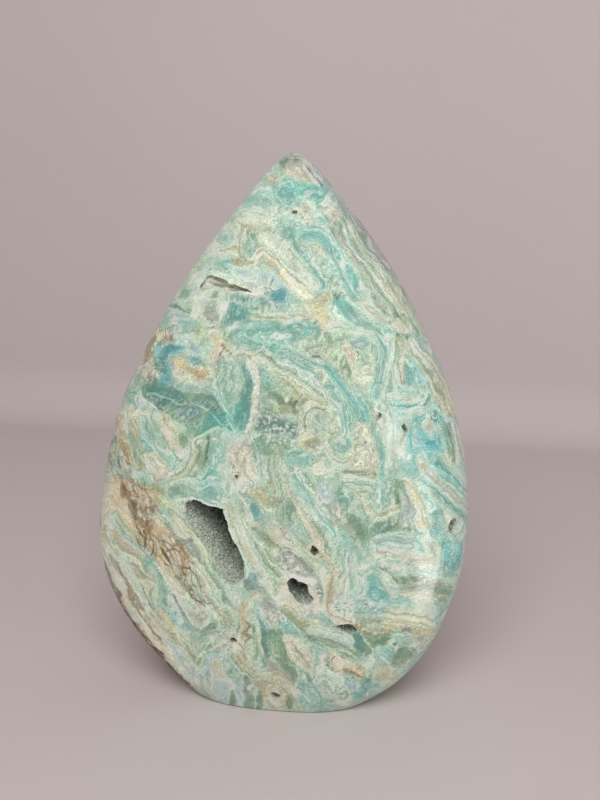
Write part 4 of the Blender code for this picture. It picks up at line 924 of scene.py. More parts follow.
vein("mint_arc_low", "pale", 2.6, [(388, 632), (397, 635), (406, 633), (411, 637), (418, 641)])
patch("dark_moss_low", "moss", [(370, 640), (388, 637), (390, 644), (380, 650), (373, 650)], 2.4)
vein("low_right_cream_line", "cream", 1.8, [(361, 634), (366, 642), (373, 647), (373, 656)])
vein("low_right_hook", "bone", 4.4, [(401, 638), (394, 641), (389, 644), (392, 651)])
vein("low_right_hook_dark", "umber", 1.3, [(390, 645), (397, 645)])
patch("low_right_seafoam", "turquoise", [(376, 648), (384, 649), (392, 656), (388, 660), (379, 656)], 2.4)
patch("low_right_green", "moss", [(394, 650), (402, 644), (413, 648), (416, 654), (408, 661), (398, 668),
      (391, 664)], 3)
patch("low_right_green_light", "green", [(398, 652), (408, 650), (410, 658), (400, 662)], 3.4)
vein("low_right_green_line", "mint", 1.6, [(409, 649), (414, 656)])
patch("low_right_grey", "mint", [(398, 637), (410, 638), (419, 644), (410, 648), (400, 646)], 2.8)
vein("low_right_white", "white", 4, [(380, 656), (385, 663), (387, 670)])
specks("low_right_flecks", "bone", 2.6, 0.5, [(358, 658), (378, 658), (384, 670), (366, 676)])
patch("low_right_tan", "tan", [(354, 668), (362, 672), (368, 678), (360, 678)], 2.2, "butter", 1.6)
patch("low_right_olive", "butter", [(376, 668), (392, 668), (398, 676), (388, 684), (378, 678)], 3.4,
      strength=0.7)
patch("low_right_slate", "teal", [(364, 676), (372, 677), (372, 684), (365, 683)], 2.4)
vein("low_right_cream", "cream", 2.4, [(373, 678), (380, 682), (383, 687)])
specks("low_right_moss", "slate", 2.2, 0.4, [(386, 660), (400, 662), (394, 672), (386, 672)])


# broad tints over the marks, a few of them painted highlights, reflections and shade: tint, strength, centre, half
# sizes, turn
# painted shade and reflection: this ash wash greys the tip
wash("ash", 1.5, 290, 156, 16, 12)
wash("ash", 0.5, 275, 180, 8, 16, 40)
# painted reflection and shade: these ash washes grey the upper right edge, where the flank turns away
wash("ash", 1.6, 319, 175, 9, 20, -42)
wash("ash", 1.6, 347, 210, 9, 34, -37)
wash("ash", 1.5, 375, 249, 9, 34, -32)
wash("ash", 1.0, 400, 288, 8, 26, -30)
wash("teal", 0.8, 300, 191, 26, 12)
wash("darker", 0.8, 190, 404, 40, 20, 8)
wash("teal", 0.4, 228, 418, 24, 20)
wash("darker", 0.6, 280, 412, 26, 22)
wash("darker", 0.5, 312, 430, 100, 140)
wash("lighter", 0.5, 266, 338, 24, 7)
wash("darker", 0.7, 208, 455, 10, 22, 10)
wash("teal", 0.6, 212, 480, 12, 18)
# painted light: lightens the left rim, which turns away from the lamps
wash("lighter", 0.5, 107, 530, 9, 45)
wash("green", 1.0, 292, 158, 14, 10)
# painted shade and reflection on the right side of the tip
wash("ash", 0.7, 300, 166, 14, 16, -40)
# painted highlight: lightens the glint left of the tip
wash("lighter", 0.8, 263, 192, 8, 12, 40)
wash("darker", 0.6, 296, 208, 18, 10)
# painted reflection and shade along the upper right edge
wash("ash", 0.8, 345, 246, 8, 34, -38)
wash("brown", 0.8, 222, 338, 12, 14, -35)
wash("rosy", 0.5, 250, 362, 10, 26, -45)
wash("lighter", 1.0, 150, 350, 8, 30, 28)
wash("darker", 0.7, 138, 402, 12, 8)
wash("darker", 0.6, 296, 404, 14, 9)
wash("teal", 0.7, 400, 418, 9, 26, -10)
wash("teal", 0.6, 415, 446, 9, 30, -20)
# painted highlight: the top of the soft highlight band on the right flank
wash("lighter", 0.7, 374, 402, 8, 34, -18)
wash("teal", 0.6, 415, 386, 12, 12)
wash("blue", 0.5, 440, 400, 10, 40, -16)
wash("lighter", 0.8, 118, 428, 9, 24)
wash("blue", 0.8, 143, 448, 8, 30, -25)
# painted highlight: the whitish sheen low on the right flank
wash("lighter", 0.9, 430, 578, 12, 10)
wash("lighter", 0.9, 172, 668, 9, 26, -42)
wash("warm", 0.5, 172, 662, 9, 18, -42)
wash("lighter", 0.8, 195, 505, 7, 9)
wash("lighter", 0.7, 132, 508, 10, 18, -20)
wash("rosy", 0.8, 350, 258, 6, 26, -36)
wash("blue", 0.8, 317, 296, 9, 10)
wash("darker", 0.6, 186, 372, 8, 14)
wash("blue", 0.6, 186, 372, 8, 14)
wash("darker", 1.0, 140, 402, 12, 8)
wash("darker", 1.3, 302, 405, 9, 9)
wash("darker", 1.2, 207, 450, 10, 20, 10)
wash("teal", 1.0, 213, 485, 12, 13)
wash("darker", 0.8, 213, 485, 12, 13)
wash("blue", 0.9, 368, 452, 14, 18)
wash("blue", 1.1, 397, 414, 8, 24)
wash("ash", 1.0, 422, 342, 8, 18, -28)
# painted light: lightens the left rim, which turns away from the lamps
wash("lighter", 1.2, 106, 525, 9, 45)
# painted light: lightens the lower left rim above the skin, which turns away from the lamps
wash("lighter", 1.5, 146, 622, 10, 74, -36)
# painted highlight on the lower right edge
wash("lighter", 1.1, 450, 584, 11, 22, 12)
wash("lighter", 0.8, 398, 682, 7, 40, 57)
wash("teal", 0.6, 288, 193, 13, 8)
wash("teal", 0.5, 250, 207, 12, 8, 35)
wash("teal", 1.0, 329, 264, 13, 13)
wash("teal", 0.5, 312, 245, 16, 14)
wash("teal", 0.6, 350, 291, 12, 12)
wash("lighter", 0.8, 300, 283, 6, 34, -38)
wash("lighter", 0.9, 326, 318, 8, 16, -30)
wash("rosy", 0.4, 319, 333, 15, 11)
wash("warm", 0.6, 267, 266, 9, 8)
wash("lighter", 1.0, 222, 278, 22, 8, 10)
wash("warm", 0.5, 192, 272, 9, 16, 30)
wash("teal", 0.4, 238, 314, 20, 14)
wash("warm", 0.8, 196, 332, 11, 10)
wash("brown", 0.8, 229, 345, 12, 10)
wash("lighter", 1.5, 156, 346, 8, 24, 25)
wash("blue", 0.5, 156, 374, 10, 10)
wash("teal", 0.9, 225, 406, 15, 18)
wash("rosy", 0.5, 237, 438, 14, 12)
wash("blue", 0.7, 237, 442, 14, 12)
wash("brown", 0.7, 296, 396, 13, 12)
wash("warm", 0.5, 300, 454, 10, 11)
wash("lighter", 1.5, 132, 418, 13, 16)
wash("warm", 1.1, 160, 436, 7, 28, -30)
wash("blue", 1.0, 149, 440, 5, 22, -25)
wash("green", 0.7, 202, 445, 8, 18)
# painted highlight: lighter and rosier at the top of the highlight band
wash("lighter", 0.8, 371, 391, 7, 24, -22)
wash("rosy", 0.4, 371, 391, 8, 24, -22)
wash("blue", 0.8, 380, 437, 10, 18)
wash("teal", 0.5, 316, 373, 16, 13)
wash("blue", 1.2, 418, 360, 20, 30, -30)
wash("lighter", 0.5, 415, 355, 18, 26, -30)
wash("lighter", 0.8, 446, 410, 8, 16, -15)
wash("teal", 0.9, 430, 440, 24, 11)
wash("blue", 0.7, 430, 440, 24, 11)
wash("teal", 0.5, 411, 460, 9, 20)
wash("teal", 0.9, 433, 503, 13, 13)
wash("warm", 0.5, 447, 462, 9, 7)
wash("teal", 0.4, 446, 483, 9, 8)
# painted light: lightens the right rim
wash("lighter", 1.1, 464, 480, 7, 50)
wash("blue", 1.0, 453, 531, 12, 11)
# painted light: lightens the right rim
wash("lighter", 1.3, 452, 553, 13, 10)
# painted highlight: the pink sheen low on the right flank
wash("rosy", 1.0, 428, 577, 13, 14)
# painted highlight: lighter and bluer at the foot of the highlight band
wash("lighter", 0.9, 424, 618, 20, 18, -30)
wash("blue", 0.7, 424, 618, 20, 18, -30)
wash("blue", 0.6, 392, 612, 14, 12)
wash("rosy", 0.6, 379, 657, 12, 10)
wash("rosy", 0.3, 337, 661, 12, 10)
wash("green", 0.8, 392, 501, 11, 11)
wash("darker", 1.3, 355, 521, 11, 24)
wash("darker", 0.5, 306, 516, 9, 9)
wash("darker", 1.2, 258, 585, 12, 20)
wash("darker", 1.3, 308, 613, 8, 12, -50)
wash("darker", 1.3, 334, 630, 8, 20, -50)
wash("green", 1.0, 212, 624, 14, 12)
wash("blue", 0.4, 258, 632, 9, 12)
wash("warm", 0.5, 242, 616, 9, 10)
wash("warm", 0.5, 210, 583, 10, 12)
wash("green", 0.9, 163, 515, 9, 16, -25)
wash("ash", 0.9, 187, 517, 9, 18, -10)
wash("lighter", 0.7, 133, 530, 12, 28, -35)
wash("rosy", 0.5, 103, 530, 8, 34)
wash("brown", 0.6, 149, 578, 12, 32, -35)
# painted light: lightens the foot's lower left, which the lamps leave darker
wash("lighter", 0.9, 194, 683, 14, 10)
wash("lighter", 0.7, 252, 699, 26, 8)
wash("brown", 0.5, 271, 545, 10, 12)
wash("warm", 0.4, 301, 545, 10, 12)
wash("teal", 0.4, 379, 537, 13, 13)
wash("teal", 0.4, 346, 547, 10, 12)


# --- the shape

def natural_spline(knots, values, at):
    """The smooth curve through the values at the knots, read at these places."""
    knots, values = np.array(knots, float), np.array(values, float)
    count, step = len(knots), np.diff(knots)
    system, right = np.zeros((count, count)), np.zeros(count)
    system[0, 0] = system[-1, -1] = 1.0
    for i in range(1, count - 1):
        system[i, i - 1 : i + 2] = step[i - 1], 2 * (step[i - 1] + step[i]), step[i]
        slopes = np.diff(values[i - 1 : i + 2]) / step[i - 1 : i + 1]
        right[i] = 3 * (slopes[1] - slopes[0])
    bend = np.linalg.solve(system, right)
    i = np.clip(np.searchsorted(knots, at) - 1, 0, count - 2)
    run = at - knots[i]
    slope = (values[i + 1] - values[i]) / step[i] - step[i] * (2 * bend[i] + bend[i + 1]) / 3
    return values[i] + slope * run + bend[i] * run**2 + (bend[i + 1] - bend[i]) / (3 * step[i]) * run**3


def section(z):
    """Middle, half width and half thickness of the drop at height z, in millimetres."""
    z = np.asarray(z, float)
    left = natural_spline(EDGE_HEIGHTS, LEFT_EDGE, z)
    right = natural_spline(EDGE_HEIGHTS, RIGHT_EDGE, z)
    depth = np.maximum(natural_spline(DEPTH_HEIGHTS, HALF_DEPTH, z), 0)
    below = np.maximum(HEIGHT - z, 0)
    rounding = 2 * TIP_RADIUS * below * np.exp(-below / TIP_REACH)
    return (left + right) / 2, np.sqrt(((right - left) / 2) ** 2 + rounding), np.sqrt(depth**2 + rounding)


def face_y(x, z, front=True):
    """y of the front or back face at (x, z)."""
    middle, half_width, half_depth = section(z)
    power = FRONT_SQUARENESS if front else BACK_SQUARENESS
    share = np.clip(np.abs((x - middle) / half_width), 0, 0.9999)
    y = half_depth * (1 - share**power) ** (1 / power)
    return -y if front else y


def unit_section(angle):
    """The rounded oblong of width and depth 2 at these angles, squarer in front."""
    power = np.where(np.sin(angle) < 0, FRONT_SQUARENESS, BACK_SQUARENESS)
    x = np.sign(np.cos(angle)) * np.abs(np.cos(angle)) ** (2 / power)
    y = np.sign(np.sin(angle)) * np.abs(np.sin(angle)) ** (2 / power)
    return x, y


def half_angles(start, count):
    """Angles over half a section from start, evenly spread along the widest one."""
    fine = np.linspace(start, start + math.pi, 4001)
    x, y = unit_section(fine)
    _, half_width, half_depth = section(50.0)
    travelled = np.concatenate([[0], np.cumsum(np.hypot(np.diff(x) * half_width, np.diff(y) * half_depth))])
    return np.interp(np.linspace(0, travelled[-1], count, endpoint=False), travelled, fine)


def gradient_noise(points, size, seed):
    """Smooth noise between about -1 and 1 at these points, with lumps of this size."""
    points = np.asarray(points, float) / size + seed * 17.31
    cell = np.floor(points).astype(np.int64)
    part = points - cell
    fade = part**3 * (part * (part * 6 - 15) + 10)
    total = np.zeros(len(points))
    for corner in range(8):
        step = np.array([corner & 1, corner >> 1 & 1, corner >> 2 & 1])
        at = cell + step
        mixed = (at[:, 0] * 73856093) ^ (at[:, 1] * 19349663) ^ (at[:, 2] * 83492791) ^ (seed * 2654435761)
        mixed = (mixed ^ (mixed >> 13)) * 1274126177 & 0x7FFFFFFF
        mixed = (mixed ^ (mixed >> 16)) * 1103515245 & 0x7FFFFFFF
        turn = mixed / 0x7FFFFFFF * 2 * math.pi
        rise = (mixed >> 8 & 0xFFFF) / 0xFFFF * 2 - 1
        flat = np.sqrt(1 - rise**2)
        away = part - step
        dot = flat * np.cos(turn) * away[:, 0] + flat * np.sin(turn) * away[:, 1] + rise * away[:, 2]
        weight = np.where(step == 1, fade, 1 - fade).prod(1)
        total += weight * dot
    return total * 1.6


def fractal_noise(points, size, seed, octaves=3):
    return sum(gradient_noise(points, size / 2**k, seed + k) / 2**k for k in range(octaves))


def smooth(low, high, value):
    share = np.clip((value - low) / (high - low), 0, 1)
    return share * share * (3 - 2 * share)


# --- painting

def to_picture(points):
    """Pixels of the picture frame where the studio camera sees these points, in millimetres."""
    azimuth, elevation = math.radians(AZIMUTH), math.radians(ELEVATION)
    back = np.array([
        math.sin(azimuth) * math.cos(elevation), -math.cos(azimuth) * math.cos(elevation), math.sin(elevation),
    ])
    across = np.array([math.cos(azimuth), math.sin(azimuth), 0.0])
    up = np.cross(back, across)
    away = points - (np.array(AIM) + back * DISTANCE)
    focal = LENS / SENSOR * FRAME_HEIGHT
    depth = -(away @ back)
    return np.stack([
        FRAME_WIDTH / 2 + focal * (away @ across) / depth,
        FRAME_HEIGHT / 2 - focal * (away @ up) / depth,
    ], 1)


def spline_points(points, closed, per_step=5):
    """A smooth curve through the drawn points."""
    points = np.array(points, float)
    count = len(points)
    out = []
    for i in range(count if closed else count - 1):
        if closed:
            before, here, there, after = (points[(i + k) % count] for k in (-1, 0, 1, 2))
        else:
            before, here, there, after = (points[min(max(i + k, 0), count - 1)] for k in (-1, 0, 1, 2))
        for t in np.arange(per_step) / per_step:
            out.append(
                here + 0.5 * t * (there - before) + t * t * (before - 2.5 * here + 2 * there - 0.5 * after)
                + t**3 * (1.5 * (here - there) + 0.5 * (after - before))
            )
    if not closed:
        out.append(points[-1])
    return np.array(out)


def along_line(places, line):
    """For each place: how far it lies from the line, signed to its right side and plain, how far along
    it lies, and how far it lies past the line's ends."""
    best = np.full(len(places), 1e9)
    signed, travel, past = np.zeros(len(places)), np.zeros(len(places)), np.zeros(len(places))
    done = 0.0
    last = len(line) - 2
    for k, (start, end) in enumerate(zip(line, line[1:])):
        step = end - start
        length = max(math.hypot(*step), 1e-6)
        away = places - start
        raw = (away @ step) / length**2
        share = np.clip(raw, 0, 1)
        off = away - share[:, None] * step
        distance = np.hypot(off[:, 0], off[:, 1])
        cross = (step[0] * away[:, 1] - step[1] * away[:, 0]) / length
        beyond = np.zeros(len(places))
        if k == 0:
            beyond = np.maximum(beyond, -raw * length)
        if k == last:
            beyond = np.maximum(beyond, (raw - 1) * length)
        side = np.where(beyond > 0, cross, np.sign(cross) * distance)
        nearer = distance < best
        best[nearer] = distance[nearer]
        signed[nearer] = side[nearer]
        travel[nearer] = (done + share * length)[nearer]
        past[nearer] = beyond[nearer]
        done += length
    return signed, best, travel, done, past


def inside_shape(places, outline):
    """Distance to a closed outline, positive inside it."""
    distance = along_line(places, np.vstack([outline, outline[:1]]))[1]
    within = np.zeros(len(places), bool)
    x, y = places[:, 0], places[:, 1]
    for (x0, y0), (x1, y1) in zip(outline, np.roll(outline, -1, 0)):
        crosses = (y0 > y) != (y1 > y)
        if y0 != y1:
            within ^= crosses & (x < (x1 - x0) * (y - y0) / (y1 - y0) + x0)
    return np.where(within, distance, -distance)


def linear(colour):
    """A #RRGGBB colour as linear light."""
    value = np.array([int(colour[i : i + 2], 16) for i in (1, 3, 5)]) / 255
    return np.where(value <= 0.04045, value / 12.92, ((value + 0.055) / 1.055) ** 2.4)


PALETTE = {name: linear(value) for name, value in COLOURS.items()}
BRIGHTNESS = np.array([0.2126, 0.7152, 0.0722])


def blend_hue(bright_from, first, second, share):
    """A tone as bright as the one given, its hue this share of the way from the first's to the second's."""
    first = first / (first @ BRIGHTNESS)[..., None]
    second = second / (second @ BRIGHTNESS)[..., None]
    return (bright_from @ BRIGHTNESS)[..., None] * (first + (second - first) * share[..., None])


class Paint:
    """The stone's colours, held at its points so that they stay crisp between them.

    Each point has two tones and its distance from the edge between them, in pixels of the frame, and the
    thin veins near it: their tone, half width, and distance to either side.
    """

    def __init__(self, count, ground):
        self.under = np.tile(ground, (count, 1))
        self.over = self.under.copy()
        self.edge = np.zeros(count)
        self.outline = np.zeros(count)
        self.veins = [
            {"tone": self.under.copy(), "side": np.zeros(count), "half": np.full(count, NO_VEIN)}
            for _ in range(VEIN_LAYERS)
        ]

    def seen(self, index):
        return np.where((self.edge[index] > 0)[:, None], self.over[index], self.under[index])

    def tones(self):
        return [self.under, self.over, *(vein["tone"] for vein in self.veins)]

    def settle(self, index, tone):
        self.under[index] = self.over[index] = tone
        self.edge[index] = self.outline[index] = 0

    def fill(self, index, tone, depth, soft=1.0, amount=1.0):
        """Paints a tone where depth, in pixels, is positive."""
        seen = self.seen(index)
        amount = np.broadcast_to(amount, depth.shape)
        if soft > 3:
            cover = (smooth(-soft * 0.6, soft * 0.6, depth) * amount)[:, None]
            for layer in self.tones():
                layer[index] += (tone - layer[index]) * cover
            return
        goal = seen + (tone - seen) * (amount * (0.85 + 0.15 * smooth(0, 4, depth)))[:, None]
        turn = smooth(-HUE_REACH, HUE_REACH, depth)
        painted = blend_hue(goal, seen, goal, turn)
        fringe = (depth > -HUE_REACH) & (depth < -EDGE_REACH)
        at = index[fringe]
        for layer in (self.under, self.over):
            layer[at] = blend_hue(layer[at], layer[at], goal[fringe], turn[fringe])
        seen = blend_hue(seen, seen, goal, turn)
        inside = depth > EDGE_REACH
        self.settle(index[inside], painted[inside])
        close = np.abs(depth) <= EDGE_REACH
        at = index[close]
        self.under[at], self.over[at], self.edge[at] = seen[close], painted[close], depth[close]
        self.outline[at] = 1.0

    def stroke(self, index, tone, side, half, amount=1.0):
        """Draws a thin vein in the first layer that has room for it."""
        reach = np.maximum(half, 1.0) + 2.4
        close = (np.abs(side) < reach + 1.2) & (half > -1.5)
        at = index[close]
        if not len(at):
            return
        for layer in self.veins:
            if (layer["half"][at] > NO_VEIN).mean() < 0.12:
                seen = self.seen(at)
                goal = seen + (tone - seen) * amount
                layer["tone"][at] = blend_hue(goal, seen, goal, np.full(len(at), 0.3))
                layer["side"][at] = side[close]
                layer["half"][at] = np.maximum(
                    half[close] - 2 * np.maximum(np.abs(side[close]) - reach[close], 0), NO_VEIN,
                )
                return
        self.fill(index, tone, np.maximum(half, 1.1) - np.abs(side), 1.0, amount)

    def shift(self, tone, cover):
        """Blends a tone in everywhere, edges and veins included."""
        cover = np.clip(cover, 0, 1)[:, None]
        for layer in self.tones():
            layer += (tone - layer) * cover

    def calm(self, power, share):
        """Brings every tone nearer to the ground's brightness, and a share of the way to the mean hue."""
        ground = PALETTE["mint"] @ BRIGHTNESS
        hue = PALETTE["mean"] / (PALETTE["mean"] @ BRIGHTNESS)
        for layer in self.tones():
            layer *= ((layer @ BRIGHTNESS / ground) ** (power - 1))[:, None]
            layer += ((layer @ BRIGHTNESS)[:, None] * hue - layer) * share


def layer_directions():
    """Which way the stone's layers run over the picture frame, from the marks' own lines.

    It holds the cosine and sine of the doubled angle on a coarse grid.
    """
    across, down = np.meshgrid(
        np.arange(0, FRAME_WIDTH + FLOW_CELL, FLOW_CELL), np.arange(0, FRAME_HEIGHT + FLOW_CELL, FLOW_CELL),
    )
    slant = 2 * math.radians(MAIN_SLANT)
    total = np.zeros((*across.shape, 2)) + 0.6 * np.array([math.cos(slant), math.sin(slant)])
    for mark in MARKS:
        closed = mark[0] == "patch"
        if mark[0] in ("fibres", "specks", "crackle"):
            continue
        line = spline_points(mark[3], closed, 3)
        step = np.diff(line, axis=0)
        length = np.hypot(*step.T)
        angle = 2 * np.arctan2(step[:, 1], step[:, 0])
        share = length * (0.3 if closed else 1.0)
        for (x, y), turn, weight in zip((line[1:] + line[:-1]) / 2, angle, share):
            far = (across - x) ** 2 + (down - y) ** 2
            pull = weight * (np.exp(-far / (2 * 8**2)) + 0.02 * np.exp(-far / (2 * 34**2)))
            total[..., 0] += pull * math.cos(turn)
            total[..., 1] += pull * math.sin(turn)
    return total / (np.linalg.norm(total, axis=2, keepdims=True) + 1e-9)


def direction_at(grid, places):
    """Unit direction of the layers at these places of the frame."""
    x = np.clip(places[:, 0] / FLOW_CELL, 0, grid.shape[1] - 1.001)
    y = np.clip(places[:, 1] / FLOW_CELL, 0, grid.shape[0] - 1.001)
    i, j = x.astype(int), y.astype(int)
    fx, fy = (x - i)[:, None], (y - j)[:, None]
    doubled = (
        grid[j, i] * (1 - fx) * (1 - fy) + grid[j, i + 1] * fx * (1 - fy)
        + grid[j + 1, i] * (1 - fx) * fy + grid[j + 1, i + 1] * fx * fy
    )
    angle = np.arctan2(doubled[:, 1], doubled[:, 0]) / 2
    return np.stack([np.cos(angle), np.sin(angle)], 1)


def smeared_noise(grid, places, size, stride, steps, seed):
    """Noise drawn out along the layers, so that it varies across them alone. Its spread is 1."""
    total = np.zeros(len(places))
    for way in (1, -1):
        at = places.copy()
        heading = direction_at(grid, at) * way
        for k in range(steps):
            flat = np.column_stack([at, np.full(len(at), seed * 3.7)])
            total += gradient_noise(flat, size, seed) * (1 - k / steps)
            at += heading * stride
            turn = direction_at(grid, at)
            turn[(turn * heading).sum(1) < 0] *= -1
            heading = turn
    return total / total.std()


def paint(points, picture):
    """The stone's colours, how far each point lies across the nearest layers, and its flecks and grit."""
    grid = layer_directions()
    fine = smeared_noise(grid, picture, 4.6, 2.6, 9, 3)
    coarse = smeared_noise(grid, picture, 10.0, 5.0, 9, 5)
    slant = math.radians(MAIN_SLANT)
    sideways = np.array([math.sin(slant), -math.cos(slant)])
    picture = picture + sideways * (coarse * 1.6 + fine * 0.5)[:, None]
    flow = coarse * 2.2 + fine * 0.6
    fleck, grit, net = (np.zeros(len(points)) for _ in range(3))
    ragged = fractal_noise(points, 2.6, 21, 2) * 0.9
    broad = fractal_noise(points, 9.0, 31, 2)
    coat = Paint(len(points), PALETTE["mint"])
    for seed, mark in enumerate(MARKS):
        kind, _, colour, shape = mark[:4]
        reach = 7.0 + (mark[4] if kind == "patch" else 0)
        if kind in ("vein", "ribbon"):
            reach += mark[4] * 0.6
        shape = np.array(shape, float)
        low, high = shape.min(0) - reach, shape.max(0) + reach
        near = np.nonzero((picture > low).all(1) & (picture < high).all(1))[0]
        if not len(near):
            continue
        places = picture[near]
        if kind == "vein":
            _, _, _, _, width, _, amount = mark
            side, distance, travel, length, past = along_line(places, spline_points(shape, False))
            taper = np.clip(np.minimum(travel, length - travel) / min(8, length / 2) + 0.35, 0, 1)
            half = width / 2 * taper * (1 + 0.35 * broad[near]) - past * 1.5
            if width < 5:
                coat.stroke(near, PALETTE[colour], side + ragged[near] * 0.4, half, amount)
            else:
                coat.fill(near, PALETTE[colour], half - distance + ragged[near] * 0.6, 1.0, amount)
        elif kind == "ribbon":
            _, _, _, _, width, amount = mark
            side, distance, travel, length, past = along_line(places, spline_points(shape, False))
            ends = np.clip(np.minimum(travel, length - travel) / 9, 0, 1)
            outer = width / 2 * (0.75 + 0.25 * ends) - distance + ragged[near] * 1.2
            waver = side + broad[near] * 1.1 + ragged[near] * 0.6
            strip = width / len(colour)
            layer = np.clip(0.5 + waver / width, 0, 0.9999) * len(colour)
            which = layer.astype(int)
            tones = np.array([PALETTE[name] for name in colour])
            cover = smooth(-0.05, 0.6, ends) * amount
            before = coat.seen(near)
            coat.fill(near, tones[which], outer, 1.0, cover)
            part = layer - which
            lower = np.maximum(which - (part < 0.5), 0)
            upper = np.minimum(lower + 1, len(colour) - 1)
            within = (outer > EDGE_REACH) & (cover > 0.02)
            at = near[within]
            share = cover[within, None]
            off = (layer[:, None] - np.arange(len(colour)) - 0.5) * strip / 4.0
            weight = np.exp(-off**2)
            hue = (weight / weight.sum(1, keepdims=True)) @ tones
            for held, tone in ((coat.under, tones[lower]), (coat.over, tones[upper])):
                tone = blend_hue(tone, tone, hue, np.full(len(tone), 0.85))
                held[at] = before[within] + (tone[within] - before[within]) * share
            coat.edge[at] = ((layer - lower - 1) * strip)[within]
            coat.outline[at] = 0.4
            mild = smooth(-1.4, 1.4, outer) * cover
            level = np.average(flow[near], weights=mild + 1e-6)
            flow[near] += (side * 0.42 + level - flow[near]) * mild * 0.85
        else:
            depth = inside_shape(places, spline_points(shape, True)) + ragged[near] * 1.3
            if kind == "patch":
                _, _, _, _, soft, rim, rim_width, amount = mark
                if rim:
                    coat.fill(near, PALETTE[rim], depth + rim_width, soft, amount)
                coat.fill(near, PALETTE[colour], depth, soft, amount)
                mild = smooth(-4, 1, depth) * min(amount, 0.85)
                level = np.average(flow[near], weights=mild + 1e-6)
                flow[near] += (depth * 0.18 + level - flow[near]) * mild * 0.8
            elif kind == "fibres":
                _, _, _, _, lean, length, width, share, amount = mark
                width = max(width, 2.2)
                turn = math.radians(lean)
                across = places[:, 0] * math.cos(turn) + places[:, 1] * math.sin(turn)
                down = -places[:, 0] * math.sin(turn) + places[:, 1] * math.cos(turn)
                strand = gradient_noise(np.stack([across / width, down / length, across * 0], 1), 1.0, seed)
                strand = (strand + share - 0.5) * width * 1.6
                coat.fill(near, PALETTE[colour], np.minimum(strand, depth), 1.0, amount * 0.8)
            elif kind == "crackle":
                net[near] = np.maximum(net[near], smooth(-2.5, 2.5, depth) * mark[4])
            else:
                _, _, _, _, size, share, amount = mark
                spot = gradient_noise(points[near], max(size, 2.6) * 0.36, seed + 5)
                spot = (spot + share - 0.62) * size * 2.2
                coat.fill(near, PALETTE[colour], np.minimum(spot, depth), 1.0, amount * 0.6)
                if size < 2.6:
                    layer = fleck if PALETTE[colour].sum() > PALETTE["mint"].sum() else grit
                    layer[near] = np.maximum(layer[near], smooth(-2, 2, depth) * amount * (0.35 + share))
    for tint, strength, centre, size, lean in WASHES:
        x, y = (picture - centre).T
        x, y = x * math.cos(lean) + y * math.sin(lean), y * math.cos(lean) - x * math.sin(lean)
        cover = 1 - smooth(0.45, 1.3, np.hypot(x / size[0], y / size[1]))
        near = np.nonzero(cover)[0]
        gain = np.array(tint) ** (strength * cover[near, None])
        for layer in coat.tones():
            layer[near] *= gain
    patchy = smooth(-0.5, 0.6, broad)
    coat.shift(PALETTE["cream"], smooth(0.8, 1.9, fine) * (0.12 + 0.25 * patchy))
    coat.shift(PALETTE["green"], smooth(0.9, 2.0, -fine) * (0.1 + 0.2 * (1 - patchy)))
    coat.shift(PALETTE["white"], smooth(0.9, 2.2, coarse) * 0.2)
    coat.calm(0.84, 0.1)
    return coat, {"flow": flow, "fleck": fleck, "grit": grit, "net": net}


def picture_places(points):
    """Where each point of the stone takes its marks from: its own place in front, and further back a
    place that drifts away from it, so that the bands bend on their way through the stone."""
    front = face_y(points[:, 0], points[:, 2])
    behind = np.clip(points[:, 1] - front, 0, None)
    drift = smooth(4, 45, behind)
    picture = to_picture(points)
    middle = np.array([290.0, 470.0])
    turned = np.stack([
        middle[0] + (picture[:, 0] - middle[0]) * 0.78 - (picture[:, 1] - middle[1]) * 0.12,
        middle[1] + (picture[:, 1] - middle[1]) * 0.82 + (picture[:, 0] - middle[0]) * 0.16,
    ], 1)
    picture += (turned - picture) * drift[:, None]
    for k in (0, 1):
        picture[:, k] += fractal_noise(points, 26, 41 + 7 * k, 2) * 34 * drift
        picture[:, k] += fractal_noise(points, 5.5, 61 + 7 * k, 3) * 1.7
        picture[:, k] += gradient_noise(points, 1.3, 81 + k) * 0.45
    return picture


def rounded_rim(points, count):
    """A closed curve through the rim's points, read at this many even places."""
    fine = spline_points(points, True, 20)
    fine = np.vstack([fine, fine[:1]])
    travelled = np.concatenate([[0], np.cumsum(np.hypot(*np.diff(fine, axis=0).T))])
    at = np.linspace(0, travelled[-1], count, endpoint=False)
    return np.stack([np.interp(at, travelled, fine[:, k]) for k in (0, 1)], 1)


def face_frame(x, z, front=True):
    """A point of the face, the way right and up along it, and the way into the stone."""
    here = Vector((x, float(face_y(x, z, front)), z))
    across = (Vector((x + 0.2, float(face_y(x + 0.2, z, front)), z)) - here).normalized()
    up = (Vector((x, float(face_y(x, z + 0.2, front)), z + 0.2)) - here).normalized()
    inward = across.cross(up).normalized()
    if inward.y * (1 if front else -1) < 0:
        inward = -inward
    return here, across, (up - inward * up.dot(inward)).normalized(), inward


def wall_scale(share):
    undercut = 1 + 0.05 * math.sin(math.pi * min(share * 2.5, 1))
    return undercut * (1 - share**2.6) ** 0.5


def pocket_ring(frame_here, rim, share, depth, lean, front=True, waver=0.5):
    """One ring of a pocket's wall, at this share of its depth, in millimetres."""
    here, across, up, inward = frame_here
    ring = []
    for x, z in rim * wall_scale(share):
        point = here + across * (x + lean[0] * share) + up * (z + lean[1] * share)
        point.y = float(face_y(point.x, point.z, front))
        point += inward * (depth * share)
        point += inward * waver * noise.noise(point / 2.2) * share
        chip = Vector((9, 0, 0))
        point += (across * noise.noise(point / 0.7) + up * noise.noise(point / 0.7 + chip)) * 0.22
        point += (across * noise.noise(point / 2.1) + up * noise.noise(point / 2.1 + chip)) * 0.3
        ring.append(point)
    return ring


